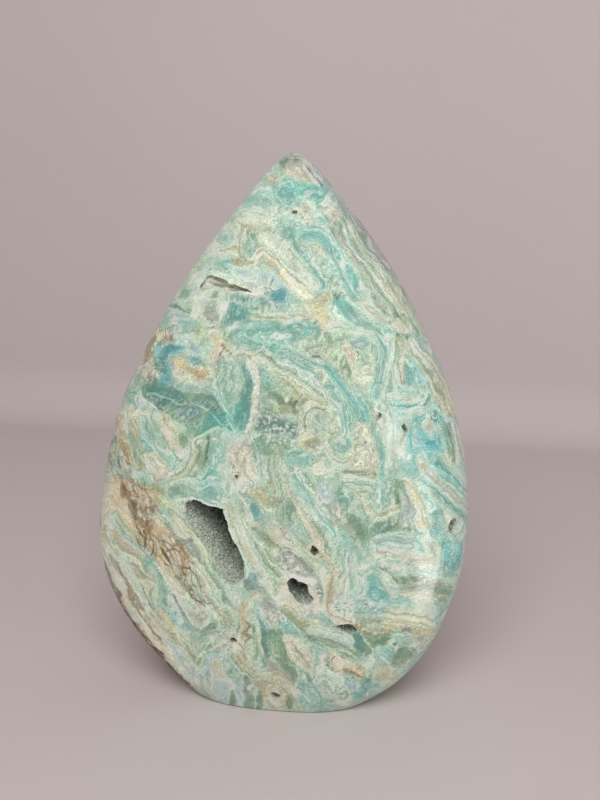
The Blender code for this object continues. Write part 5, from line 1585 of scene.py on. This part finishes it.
def join_rings(bm, rings):
    """Faces between rings of points, and a fan over each end."""
    made = [[bm.verts.new(point * MM) for point in ring] for ring in rings]
    count = len(rings[0])
    for low, high in zip(made, made[1:]):
        for i in range(count):
            j = (i + 1) % count
            bm.faces.new((low[i], low[j], high[j], high[i]))
    for ring in (made[0], made[-1]):
        middle = bm.verts.new(sum((v.co for v in ring), Vector()) / count)
        for i in range(count):
            bm.faces.new((ring[i], ring[(i + 1) % count], middle))


def pit_rim(half_width, half_height, turn, seed):
    rim = []
    for i in range(PIT_POINTS):
        angle = 2 * math.pi * i / PIT_POINTS
        waver = 1 + 0.3 * noise.noise(Vector((math.cos(angle), math.sin(angle), seed)) * 1.7)
        waver += 0.15 * noise.noise(Vector((math.cos(angle), math.sin(angle), seed + 5)) * 4)
        x, z = half_width * waver * math.cos(angle), half_height * waver * math.sin(angle)
        turned = math.radians(turn)
        rim.append((x * math.cos(turned) - z * math.sin(turned), x * math.sin(turned) + z * math.cos(turned)))
    return np.array(rim)


def pockets_cutter():
    """Every pocket and pit as one mesh of separate plugs."""
    bm = bmesh.new()
    jobs = []
    for pocket in POCKETS:
        rim = rounded_rim(pocket["rim"], pocket["points"])
        jobs.append((pocket["centre"], rim, pocket["depth"], pocket["lean"], True))
    for front, pits in ((True, FRONT_PITS), (False, BACK_PITS)):
        for seed, (_, centre, half_width, half_height, turn, depth) in enumerate(pits):
            jobs.append((centre, pit_rim(half_width, half_height, turn, seed), depth, (0, 0), front))
    for (x, z), rim, depth, lean, front in jobs:
        place = face_frame(x, z, front)
        shares = np.linspace(0, 0.97, 9) ** 0.8 if depth > 5 else (0.0, 0.3, 0.6, 0.85)
        rings = [pocket_ring(place, rim, share, depth, lean, front) for share in shares]
        above = [point - place[3] * 1.5 for point in rings[0]]
        join_rings(bm, [above] + rings)
    bmesh.ops.recalc_face_normals(bm, faces=bm.faces)
    mesh = bpy.data.meshes.new("pockets_cutter")
    bm.to_mesh(mesh)
    bm.free()
    return mesh


def skin_share(points, outward_x):
    """How much a point belongs to the strip of natural skin low on the left flank."""
    z = points[:, 2]
    share = smooth(0.5, 5.5, z) * (1 - smooth(37, 44, z + fractal_noise(points, 8, 91, 2) * 4))
    inner = 0.48 + 0.14 * smooth(14, 40, z)
    return share * smooth(inner, inner + 0.12, -outward_x + fractal_noise(points, 3, 95, 2) * 0.08)


def stone_grid():
    """The drop as rings of points, dense in front: places, the quads between the rings, and the caps' triangles."""
    angles = np.concatenate([half_angles(math.pi, FRONT_POINTS), half_angles(0.0, BACK_POINTS)])
    unit_x, unit_y = unit_section(angles)
    around = len(angles)
    heights = np.concatenate([
        [0.0, 0.25], np.linspace(FOOT_BEVEL, 156.0, LEVELS - 12), 160 - 4.0 * np.linspace(1, 0, 12)[1:-1] ** 2,
    ])
    rings, outward = [], []
    for z in heights:
        middle, half_width, half_depth = section(z)
        shrink = FOOT_BEVEL * (1 - math.sqrt(max(0, 1 - (1 - min(z / FOOT_BEVEL, 1)) ** 2)))
        ring = np.stack([
            middle + (half_width - shrink) * unit_x, (half_depth - shrink) * unit_y, np.full(around, z),
        ], 1)
        away = np.stack([unit_x / half_width, unit_y / half_depth], 1)
        away /= np.hypot(away[:, 0], away[:, 1])[:, None]
        rings.append(ring)
        outward.append(away)
    points, outward = np.vstack(rings), np.vstack(outward)
    skin = skin_share(points, outward[:, 0])
    lumps = np.abs(fractal_noise(points, 3.6, 101, 3))
    sunk = skin * (0.12 + 0.62 * np.clip(lumps, 0, 1))
    points[:, :2] -= outward * sunk[:, None]
    top = np.array([[section(HEIGHT)[0], 0.0, HEIGHT]])
    foot = np.array([[points[:around, 0].mean(), 0.0, 0.0]])
    count = len(heights)
    i, j = np.arange(around), (np.arange(around) + 1) % around
    faces = []
    for k in range(count - 1):
        faces.append(np.stack([k * around + i, k * around + j, (k + 1) * around + j, (k + 1) * around + i], 1))
    quads = np.vstack(faces)
    last = count * around
    caps = [(int((count - 1) * around + a), int((count - 1) * around + b), last) for a, b in zip(i, j)]
    caps += [(int(b), int(a), last + 1) for a, b in zip(i, j)]
    return np.vstack([points, top, foot]), quads, caps


def new_mesh(name, points, faces):
    mesh = bpy.data.meshes.new(name)
    mesh.from_pydata((points * MM).tolist(), [], faces)
    mesh.update()
    return mesh


def add_object(name, mesh, material, body="root"):
    obj = bpy.data.objects.new(name, mesh)
    bpy.context.scene.collection.objects.link(obj)
    mesh.materials.append(material)
    if body:
        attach(obj, body)
    return obj


def polished_stone(material):
    """The stone with its pockets cut, coloured point by point."""
    points, quads, caps = stone_grid()
    body = bpy.data.objects.new("polished_stone_blank", new_mesh("blank", points, quads.tolist() + caps))
    cutter = bpy.data.objects.new("pockets_cutter", pockets_cutter())
    for obj in (body, cutter):
        bpy.context.scene.collection.objects.link(obj)
    cut = body.modifiers.new("pockets", "BOOLEAN")
    cut.operation = "DIFFERENCE"
    cut.object = cutter
    bpy.context.view_layer.update()
    evaluated = body.evaluated_get(bpy.context.evaluated_depsgraph_get())
    mesh = bpy.data.meshes.new_from_object(evaluated)
    mesh.name = "polished_stone"
    bpy.data.objects.remove(body)
    bpy.data.objects.remove(cutter)
    mesh.materials.clear()
    mesh.shade_smooth()
    mesh.set_sharp_from_angle(angle=math.radians(38))
    points = np.empty(len(mesh.vertices) * 3, np.float32)
    mesh.vertices.foreach_get("co", points)
    points = points.reshape(-1, 3) / MM
    finish_paint(mesh, points, *paint(points, picture_places(points)))
    return add_object("polished_stone", mesh, material)


def depth_under_face(points):
    """How far each point lies under the polished face, about."""
    middle, half_width, half_depth = section(np.clip(points[:, 2], 0, 159.99))
    power = np.where(points[:, 1] < 0, FRONT_SQUARENESS, BACK_SQUARENESS)
    reach = np.abs((points[:, 0] - middle) / half_width) ** power + np.abs(points[:, 1] / half_depth) ** power
    reach = reach ** (1 / power)
    return (1 - reach) * half_depth


def finish_paint(mesh, points, coat, layers):
    """Darkens the pockets' walls, colours the natural skin, and stores the mesh's attributes."""
    under = depth_under_face(points)
    middle, half_width, half_depth = section(np.clip(points[:, 2], 0, 159.99))
    outward = (points[:, 0] - middle) / half_width**2
    outward /= np.hypot(outward, points[:, 1] / half_depth**2) + 1e-9
    skin = skin_share(points, outward)
    in_pocket = smooth(0.25, 0.8, under) * (1 - smooth(0.2, 0.5, skin)) * (points[:, 2] > 1.0)
    speckle = smooth(-0.5, 0.5, fractal_noise(points, 0.6, 117, 3))[:, None]
    x, z = SLIT["centre"]
    in_slit = (np.hypot(points[:, 0] - x, points[:, 2] - z) < 10)[:, None]
    low = np.where(in_slit, PALETTE["slate"] * 0.9, PALETTE["umber"])
    high = np.where(in_slit, PALETTE["bone"] * 1.15, PALETTE["grey"] * 0.9)
    coat.shift(low + (high - low) * speckle, in_pocket * 0.95)
    stain = fractal_noise(points, 1.5, 111, 3)
    bark = PALETTE["russet"] * 1.1 + (PALETTE["rust"] - PALETTE["russet"]) * np.clip(stain, 0, 1)[:, None]
    bits = fractal_noise(points, 0.9, 113, 2)
    bark = bark + (PALETTE["pink"] - bark) * smooth(0.15, 0.5, bits)[:, None] * 0.8
    bark = bark * (1 - 0.5 * smooth(0.15, 0.5, -bits))[:, None]
    coat.shift(bark, smooth(0.2, 0.5, skin + stain * 0.25))
    tint = coat.seen(np.arange(len(points)))
    chalky = np.clip((tint[:, 0] - tint[:, 2]) * 3.0, 0, 1)
    rough = np.clip(np.maximum(np.maximum(skin, in_pocket), chalky * 0.35), 0, 1)
    tones = {"under": coat.under, "over": coat.over}
    layers |= {"rough": rough, "skin": skin, "edge": coat.edge, "outline": coat.outline}
    for k, vein in enumerate(coat.veins):
        tones[f"vein_tone_{k}"] = vein["tone"]
        layers[f"vein_side_{k}"] = vein["side"]
        layers[f"vein_half_{k}"] = vein["half"]
    for name, values in tones.items():
        layer = mesh.attributes.new(name, "FLOAT_COLOR", "POINT")
        values = np.hstack([values, np.ones((len(values), 1))])
        layer.data.foreach_set("color", values.astype(np.float32).ravel())
    for name, values in layers.items():
        layer = mesh.attributes.new(name, "FLOAT", "POINT")
        layer.data.foreach_set("value", values.astype(np.float32))


# --- materials

class Nodes:
    """A small helper that adds nodes to a material and wires them."""

    def __init__(self, name):
        self.material = bpy.data.materials.new(name)
        self.material.use_nodes = True
        self.tree = self.material.node_tree
        self.shader = self.tree.nodes["Principled BSDF"]

    def add(self, kind, settings=None, **inputs):
        node = self.tree.nodes.new(kind)
        for key, value in (settings or {}).items():
            setattr(node, key, value)
        for key, value in inputs.items():
            self.wire(value, node.inputs[int(key[1:]) if key[0] == "i" and key[1:].isdigit() else key])
        return node

    def wire(self, value, socket):
        if isinstance(value, bpy.types.NodeSocket):
            self.tree.links.new(value, socket)
        else:
            socket.default_value = value

    def attribute(self, name, output):
        return self.add("ShaderNodeAttribute", {"attribute_name": name}).outputs[output]

    def math(self, operation, first, second=0.0, clamp=False):
        settings = {"operation": operation, "use_clamp": clamp}
        return self.add("ShaderNodeMath", settings, i0=first, i1=second).outputs[0]

    def noise(self, place, scale, detail=4.0, roughness=0.55, distortion=0.0):
        return self.add("ShaderNodeTexNoise", None, Vector=place, Scale=scale, Detail=detail,
                        Roughness=roughness, Distortion=distortion).outputs["Fac"]

    def ramp(self, value, stops):
        node = self.add("ShaderNodeValToRGB", None, Fac=value)
        elements = node.color_ramp.elements
        while len(elements) < len(stops):
            elements.new(0.5)
        for element, (position, tone) in zip(elements, stops):
            element.position = position
            element.color = (*tone, 1) if not isinstance(tone, float) else (tone, tone, tone, 1)
        return node.outputs["Color"]

    def mix(self, kind, share, first, second):
        node = self.add("ShaderNodeMix", {"data_type": "RGBA", "blend_type": kind})
        self.wire(share, node.inputs["Factor"])
        self.wire(first, node.inputs["A"])
        self.wire(second, node.inputs["B"])
        return node.outputs["Result"]


def stone_material():
    n = Nodes("banded_aragonite")
    place = n.add("ShaderNodeTexCoord").outputs["Object"]
    flow = n.attribute("flow", "Fac")
    rough = n.attribute("rough", "Fac")
    skin = n.attribute("skin", "Fac")

    # the drawn edges and veins, frayed a little
    fray = n.math("SUBTRACT", n.noise(place, 1300.0, 3.0, 0.6), 0.5)
    edge = n.math("ADD", n.attribute("edge", "Fac"), n.math("MULTIPLY", fray, 3.0))
    share = n.math("ADD", n.math("MULTIPLY", edge, 0.8), 0.5, True)
    tint = n.mix("MIX", share, n.attribute("under", "Color"), n.attribute("over", "Color"))
    along = n.math("SUBTRACT", 1.1, n.math("ABSOLUTE", edge))
    lace = n.ramp(n.noise(place, 240.0, 3.0), [(0.40, 0.15), (0.60, 1.0)])
    along = n.math("MULTIPLY", n.math("MULTIPLY", along, n.attribute("outline", "Fac"), True), lace)
    rimmed = n.mix("MULTIPLY", 1.0, tint, (1.38, 1.34, 1.28, 1))
    tint = n.mix("MIX", n.math("MULTIPLY", along, 0.8), tint, rimmed)
    for k in range(VEIN_LAYERS):
        side = n.math("ADD", n.attribute(f"vein_side_{k}", "Fac"), n.math("MULTIPLY", fray, 2.2))
        room = n.math("SUBTRACT", n.attribute(f"vein_half_{k}", "Fac"), n.math("ABSOLUTE", side))
        share = n.math("ADD", n.math("MULTIPLY", room, 0.9), 0.5, True)
        tint = n.mix("MIX", n.math("MULTIPLY", share, 0.95), tint, n.attribute(f"vein_tone_{k}", "Color"))

    # thin layers that follow the drawn ribbons, and fade in deep, clear tones
    pale = n.ramp(n.add("ShaderNodeRGBToBW", None, Color=tint).outputs[0], [(0.26, 0.30), (0.52, 1.0)])
    waver = n.noise(place, 380.0, 4.0, 0.6)
    layered = n.math("ADD", flow, n.math("MULTIPLY", waver, 2.6))
    thin = n.add("ShaderNodeTexNoise", {"noise_dimensions": "1D"}, W=layered, Scale=0.8, Detail=4.0,
                 Roughness=0.6).outputs["Fac"]
    where = n.ramp(n.noise(place, 70.0, 3.0), [(0.38, 0.5), (0.62, 1.0)])
    pale_lines = n.ramp(thin, [(0.53, 0.0), (0.58, 1.0)])
    deep_lines = n.ramp(thin, [(0.40, 1.0), (0.45, 0.0)])
    light = n.mix("MULTIPLY", 1.0, n.mix("MIX", 0.22, tint, (*PALETTE["cream"], 1)), (1.28, 1.26, 1.22, 1))
    colour = n.mix("MIX", n.math("MULTIPLY", n.math("MULTIPLY", pale_lines, where), pale), tint, light)
    dull = n.mix("MULTIPLY", 1.0, colour, (0.68, 0.72, 0.70, 1))
    colour = n.mix("MIX", n.math("MULTIPLY", n.math("MULTIPLY", deep_lines, pale), 0.75), colour, dull)

    # cloudy crystals, from coarse to fine
    coarse = n.ramp(n.noise(place, 330.0, 6.0, 0.62), [(0.28, 0.84), (0.5, 1.0), (0.72, 1.12)])
    colour = n.mix("MULTIPLY", 0.8, colour, coarse)
    fine = n.ramp(n.noise(place, 1400.0, 4.0, 0.6), [(0.3, 0.86), (0.5, 1.0), (0.7, 1.1)])
    colour = n.mix("MULTIPLY", 0.8, colour, fine)
    finest = n.ramp(n.noise(place, 3000.0, 2.0, 0.5), [(0.28, 0.72), (0.5, 1.0), (0.72, 1.26)])
    colour = n.mix("MULTIPLY", 0.95, colour, finest)

    # fine pale lines along the layers, and the nets of brown ones
    close = n.add("ShaderNodeTexNoise", {"noise_dimensions": "1D"}, W=n.math("ADD", layered, 40.0), Scale=0.55,
                  Detail=2.0, Roughness=0.5).outputs["Fac"]
    crest = n.math("ABSOLUTE", n.math("SUBTRACT", close, 0.5))
    hair = n.ramp(crest, [(0.0, 1.0), (0.045, 0.0)])
    broken = n.ramp(n.noise(place, 210.0, 2.0), [(0.45, 0.0), (0.6, 1.0)])
    colour = n.mix("MIX", n.math("MULTIPLY", n.math("MULTIPLY", hair, broken), pale), colour,
                   (*PALETTE["white"], 1))
    bent = n.mix("ADD", 0.0028, place, n.add("ShaderNodeTexNoise", None, Vector=place, Scale=260.0,
                                             Detail=3.0).outputs["Color"])
    along_net = n.add("ShaderNodeMapping", {"vector_type": "TEXTURE"}, Vector=bent,
                      Rotation=(0.0, math.radians(MAIN_SLANT + 8), 0.0), Scale=(2.6, 1.6, 1.0))
    cells = n.add("ShaderNodeTexVoronoi", {"feature": "DISTANCE_TO_EDGE"}, Vector=along_net.outputs[0],
                  Scale=620.0).outputs["Distance"]
    net = n.attribute("net", "Fac")
    cracks = n.ramp(cells, [(0.02, 1.0), (0.13, 0.0)])
    patchy = n.ramp(n.noise(place, 330.0, 3.0), [(0.36, 0.25), (0.58, 1.0)])
    cracks = n.math("MULTIPLY", n.math("MULTIPLY", cracks, patchy), net)
    stain = n.ramp(n.noise(place, 420.0, 4.0, 0.6), [(0.46, 0.0), (0.60, 1.0)])
    colour = n.mix("MULTIPLY", n.math("MULTIPLY", n.math("MULTIPLY", stain, net), 0.55), colour,
                   (0.80, 0.70, 0.50, 1))
    colour = n.mix("MIX", n.math("MULTIPLY", cracks, 0.8), colour, (*(PALETTE["brown"] * 0.9), 1))

    # white flecks and dark grit, more of them where they were drawn
    for name, seed_scale, tone, few in (("fleck", 950.0, "white", 0.70), ("grit", 1100.0, "slate", 0.80)):
        amount = n.attribute(name, "Fac")
        grains = n.noise(place, seed_scale, 2.0, 0.5)
        level = n.math("ADD", n.math("SUBTRACT", grains, few), n.math("MULTIPLY", amount, 0.22))
        spots = n.math("MULTIPLY", level, 14.0, True)
        colour = n.mix("MIX", n.math("MULTIPLY", spots, 0.75), colour, (*PALETTE[tone], 1))

    n.wire(colour, n.shader.inputs["Base Color"])
    polish = n.math("MULTIPLY", n.noise(place, 300.0, 3.0), 0.1)
    n.wire(n.math("ADD", n.math("ADD", polish, 0.1), n.math("MULTIPLY", rough, 0.5), True),
           n.shader.inputs["Roughness"])
    n.shader.inputs["IOR"].default_value = 1.58
    n.shader.inputs["Subsurface Weight"].default_value = 0.06
    n.shader.inputs["Subsurface Radius"].default_value = (0.7, 1.0, 0.9)
    n.shader.inputs["Subsurface Scale"].default_value = 0.0016
    n.shader.inputs["Metallic"].default_value = 0.0

    grain = n.noise(place, 900.0, 5.0, 0.65)
    low = n.math("MULTIPLY", n.math("ADD", rough, 0.03), grain)
    bump = n.add("ShaderNodeBump", None, Strength=0.5, Distance=0.0004, Height=low)
    crust = n.add("ShaderNodeBump", None, Strength=0.9, Distance=0.0009,
                  Height=n.math("MULTIPLY", n.noise(place, 520.0, 6.0, 0.7), skin),
                  Normal=bump.outputs["Normal"])
    n.wire(crust.outputs["Normal"], n.shader.inputs["Normal"])
    return n.material


def druse_material():
    n = Nodes("grey_druse_crystals")
    place = n.add("ShaderNodeTexCoord").outputs["Object"]
    shade = n.attribute("shade", "Color")
    mottled = n.ramp(n.noise(place, 1500.0, 3.0), [(0.3, 0.7), (0.7, 1.3)])
    n.wire(n.mix("MULTIPLY", 1.0, shade, mottled), n.shader.inputs["Base Color"])
    n.wire(n.math("ADD", n.math("MULTIPLY", n.noise(place, 2400.0, 2.0), 0.25), 0.08),
           n.shader.inputs["Roughness"])
    n.shader.inputs["IOR"].default_value = 1.6
    n.shader.inputs["Metallic"].default_value = 0.0
    return n.material


def studio_material(name, colour, roughness):
    n = Nodes(name)
    place = n.add("ShaderNodeTexCoord").outputs["Object"]
    cloud = n.ramp(n.noise(place, 3.0, 3.0), [(0.3, 0.97), (0.7, 1.03)])
    n.wire(n.mix("MULTIPLY", 1.0, (*linear(colour), 1), cloud), n.shader.inputs["Base Color"])
    grain = n.noise(place, 700.0, 3.0)
    bump = n.add("ShaderNodeBump", None, Strength=0.12, Distance=0.0005, Height=grain)
    n.wire(bump.outputs["Normal"], n.shader.inputs["Normal"])
    n.shader.inputs["Roughness"].default_value = roughness
    n.shader.inputs["Specular IOR Level"].default_value = 0.25
    return n.material


# --- druse

def druse(name, node, pocket, count, material):
    """Small flat-faced crystals that stand on a pocket's wall, as one mesh, their colour painted paler or darker by
    the pocket's light and darker deeper down.
    """
    rim = rounded_rim(pocket["rim"], 160)
    place = face_frame(*pocket["centre"])
    inward = place[3]
    depth, lean = pocket["depth"], pocket["lean"]
    shares = np.linspace(0.03, 0.985, 40)
    rings = np.array([[tuple(p) for p in pocket_ring(place, rim, s, depth, lean)] for s in shares])
    centre = rings.mean(1)
    verts, faces, shades = [], [], []
    reach = np.abs(rim).max()
    lengths = np.linalg.norm(np.diff(rings, axis=1, append=rings[:, :1]), axis=2).sum(1)
    weight = lengths / lengths.sum()
    for _ in range(count):
        k = rng.choice(len(shares), p=weight)
        if k >= len(shares) - 8:
            spread = math.sqrt(rng.random())
        else:
            spread = 1.0
        i = rng.integers(len(rim))
        base = centre[k] + (rings[k, i] - centre[k]) * spread
        wall = centre[k] - rings[k, i]
        wall /= np.linalg.norm(wall) + 1e-9
        slope = shares[k] ** 3
        axis = wall * (1 - slope) * (1 if spread == 1 else 0.2) - np.array(inward) * (0.25 + slope * 1.2)
        axis += rng.normal(0, 0.42, 3)
        axis /= np.linalg.norm(axis)
        side = np.cross(axis, rng.normal(0, 1, 3))
        side /= np.linalg.norm(side)
        other = np.cross(axis, side)
        radius = rng.uniform(0.16, 0.36)
        height = radius * rng.uniform(1.0, 2.2)
        sides = int(rng.integers(4, 7))
        start = len(verts)
        turn = rng.random() * 6.28
        for ring_height, scale in ((-0.5, 1.0), (0.45, 0.95)):
            for s in range(sides):
                angle = turn + 2 * math.pi * s / sides
                verts.append(base + axis * height * ring_height
                             + (side * math.cos(angle) + other * math.sin(angle)) * radius * scale)
        verts.append(base + axis * height + (side + other) * radius * rng.uniform(-0.3, 0.3))
        for s in range(sides):
            t = (s + 1) % sides
            faces.append((start + s, start + t, start + sides + t, start + sides + s))
            faces.append((start + sides + s, start + sides + t, start + 2 * sides))
        faces.append(tuple(start + s for s in reversed(range(sides))))
        x, z = (base[0] - pocket["centre"][0]) / reach, (base[2] - pocket["centre"][1]) / reach
        # painted light and shade: each crystal runs from dark to pale grey by its place across and up the pocket, and
        # darker deeper down
        level, across, up = pocket["light"]
        light = level + across * x + up * z - 0.3 * shares[k] + rng.normal(0, 0.12)
        light = np.clip(light, 0.1, 1.0)
        tone = PALETTE["dark"] * 1.3 + (PALETTE["grey"] * 1.4 - PALETTE["dark"] * 1.3) * light**1.2
        shades += [tone] * (2 * sides + 1)
    verts = np.array(verts)
    under = depth_under_face(verts)
    verts += np.array(inward) * np.clip(0.25 - under, 0, None)[:, None]
    mesh = new_mesh(name, verts, faces)
    colour = mesh.attributes.new("shade", "FLOAT_COLOR", "POINT")
    shades = np.hstack([np.array(shades), np.ones((len(shades), 1))])
    colour.data.foreach_set("color", shades.astype(np.float32).ravel())
    piece = add_object(name, mesh, material)
    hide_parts(node)
    return piece


# --- studio

def studio():
    """A pale floor that sweeps up into a backdrop, soft light, and the camera."""
    profile = [(-1.6, 0.0), (0.25, 0.0)]
    for k in range(1, 13):
        angle = math.pi / 2 * k / 12
        profile.append((0.25 + 0.03 * math.sin(angle), 0.03 * (1 - math.cos(angle))))
    profile.append((0.28, 2.2))
    verts = [(x, y, z) for y, z in profile for x in (-2.5, 2.5)]
    faces = [(2 * k, 2 * k + 1, 2 * k + 3, 2 * k + 2) for k in range(len(profile) - 1)]
    mesh = bpy.data.meshes.new("backdrop")
    mesh.from_pydata(verts, [], faces)
    mesh.shade_smooth()
    backdrop = add_object("backdrop", mesh, studio_material("warm_grey_sweep", "#CBC0BE", 0.7), None)

    def lamp(name, place, aim, size, power, shines=True, lights=True, roll=0.0):
        data = bpy.data.lights.new(name, "AREA")
        data.shape = "RECTANGLE"
        data.size, data.size_y = size
        data.energy = power
        obj = bpy.data.objects.new(name, data)
        obj.location = place
        turn = (Vector(aim) - Vector(place)).to_track_quat("-Z", "Y") @ Quaternion((0, 0, 1), math.radians(roll))
        obj.rotation_euler = turn.to_euler()
        obj.visible_camera = False
        obj.visible_glossy = shines
        obj.visible_diffuse = lights
        bpy.context.scene.collection.objects.link(obj)

    lamp("softbox", (0.06, -0.66, 0.76), (0, 0, 0.08), (0.68, 0.5), 7.35, shines=False)
    lamp("side_panel", (0.43, -0.27, 0.085), (0.04, 0, 0.30), (0.2, 0.07), 0.36, shines=False)
    lamp("low_strip", (0.122, -0.082, 0.038), (0.043, -0.02, 0.056), (0.034, 0.066), 0.020, lights=False)
    lamp("foot_strip", (0.088, -0.041, 0.014), (0.044, -0.02, 0.042), (0.03, 0.022), 0.008, lights=False)
    lamp("high_strip", (0.096, -0.118, 0.090), (0.034, -0.02, 0.085), (0.055, 0.018), 0.009, lights=False,
         roll=-24)
    lamp("left_glint", (-0.52, -0.40, 0.75), (0, 0, 0.15), (0.12, 0.12), 0.12, lights=False)

    world = bpy.data.worlds.new("soft_room")
    world.use_nodes = True
    world.node_tree.nodes["Background"].inputs["Color"].default_value = (0.93, 0.93, 0.95, 1)
    world.node_tree.nodes["Background"].inputs["Strength"].default_value = 0.23
    bpy.context.scene.world = world

    azimuth, elevation = math.radians(AZIMUTH), math.radians(ELEVATION)
    back = Vector((
        math.sin(azimuth) * math.cos(elevation), -math.cos(azimuth) * math.cos(elevation), math.sin(elevation),
    ))
    data = bpy.data.cameras.new("camera")
    data.lens, data.sensor_width = LENS, SENSOR
    data.clip_start = 0.01
    camera = bpy.data.objects.new("camera", data)
    camera.location = (Vector(AIM) + back * DISTANCE) * MM
    camera.rotation_euler = (-back).to_track_quat("-Z", "Y").to_euler()
    bpy.context.scene.collection.objects.link(camera)
    bpy.context.scene.camera = camera
    bpy.context.scene.view_settings.view_transform = "Standard"


noise.seed_set(7)
studio()
stone = polished_stone(stone_material())
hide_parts("stone")
crystals = druse_material()
druse("large_pocket_crystals", "large_pocket_druse", LARGE_POCKET, 4200, crystals)
druse("small_pocket_crystals", "small_pocket_druse", SMALL_POCKET, 700, crystals)
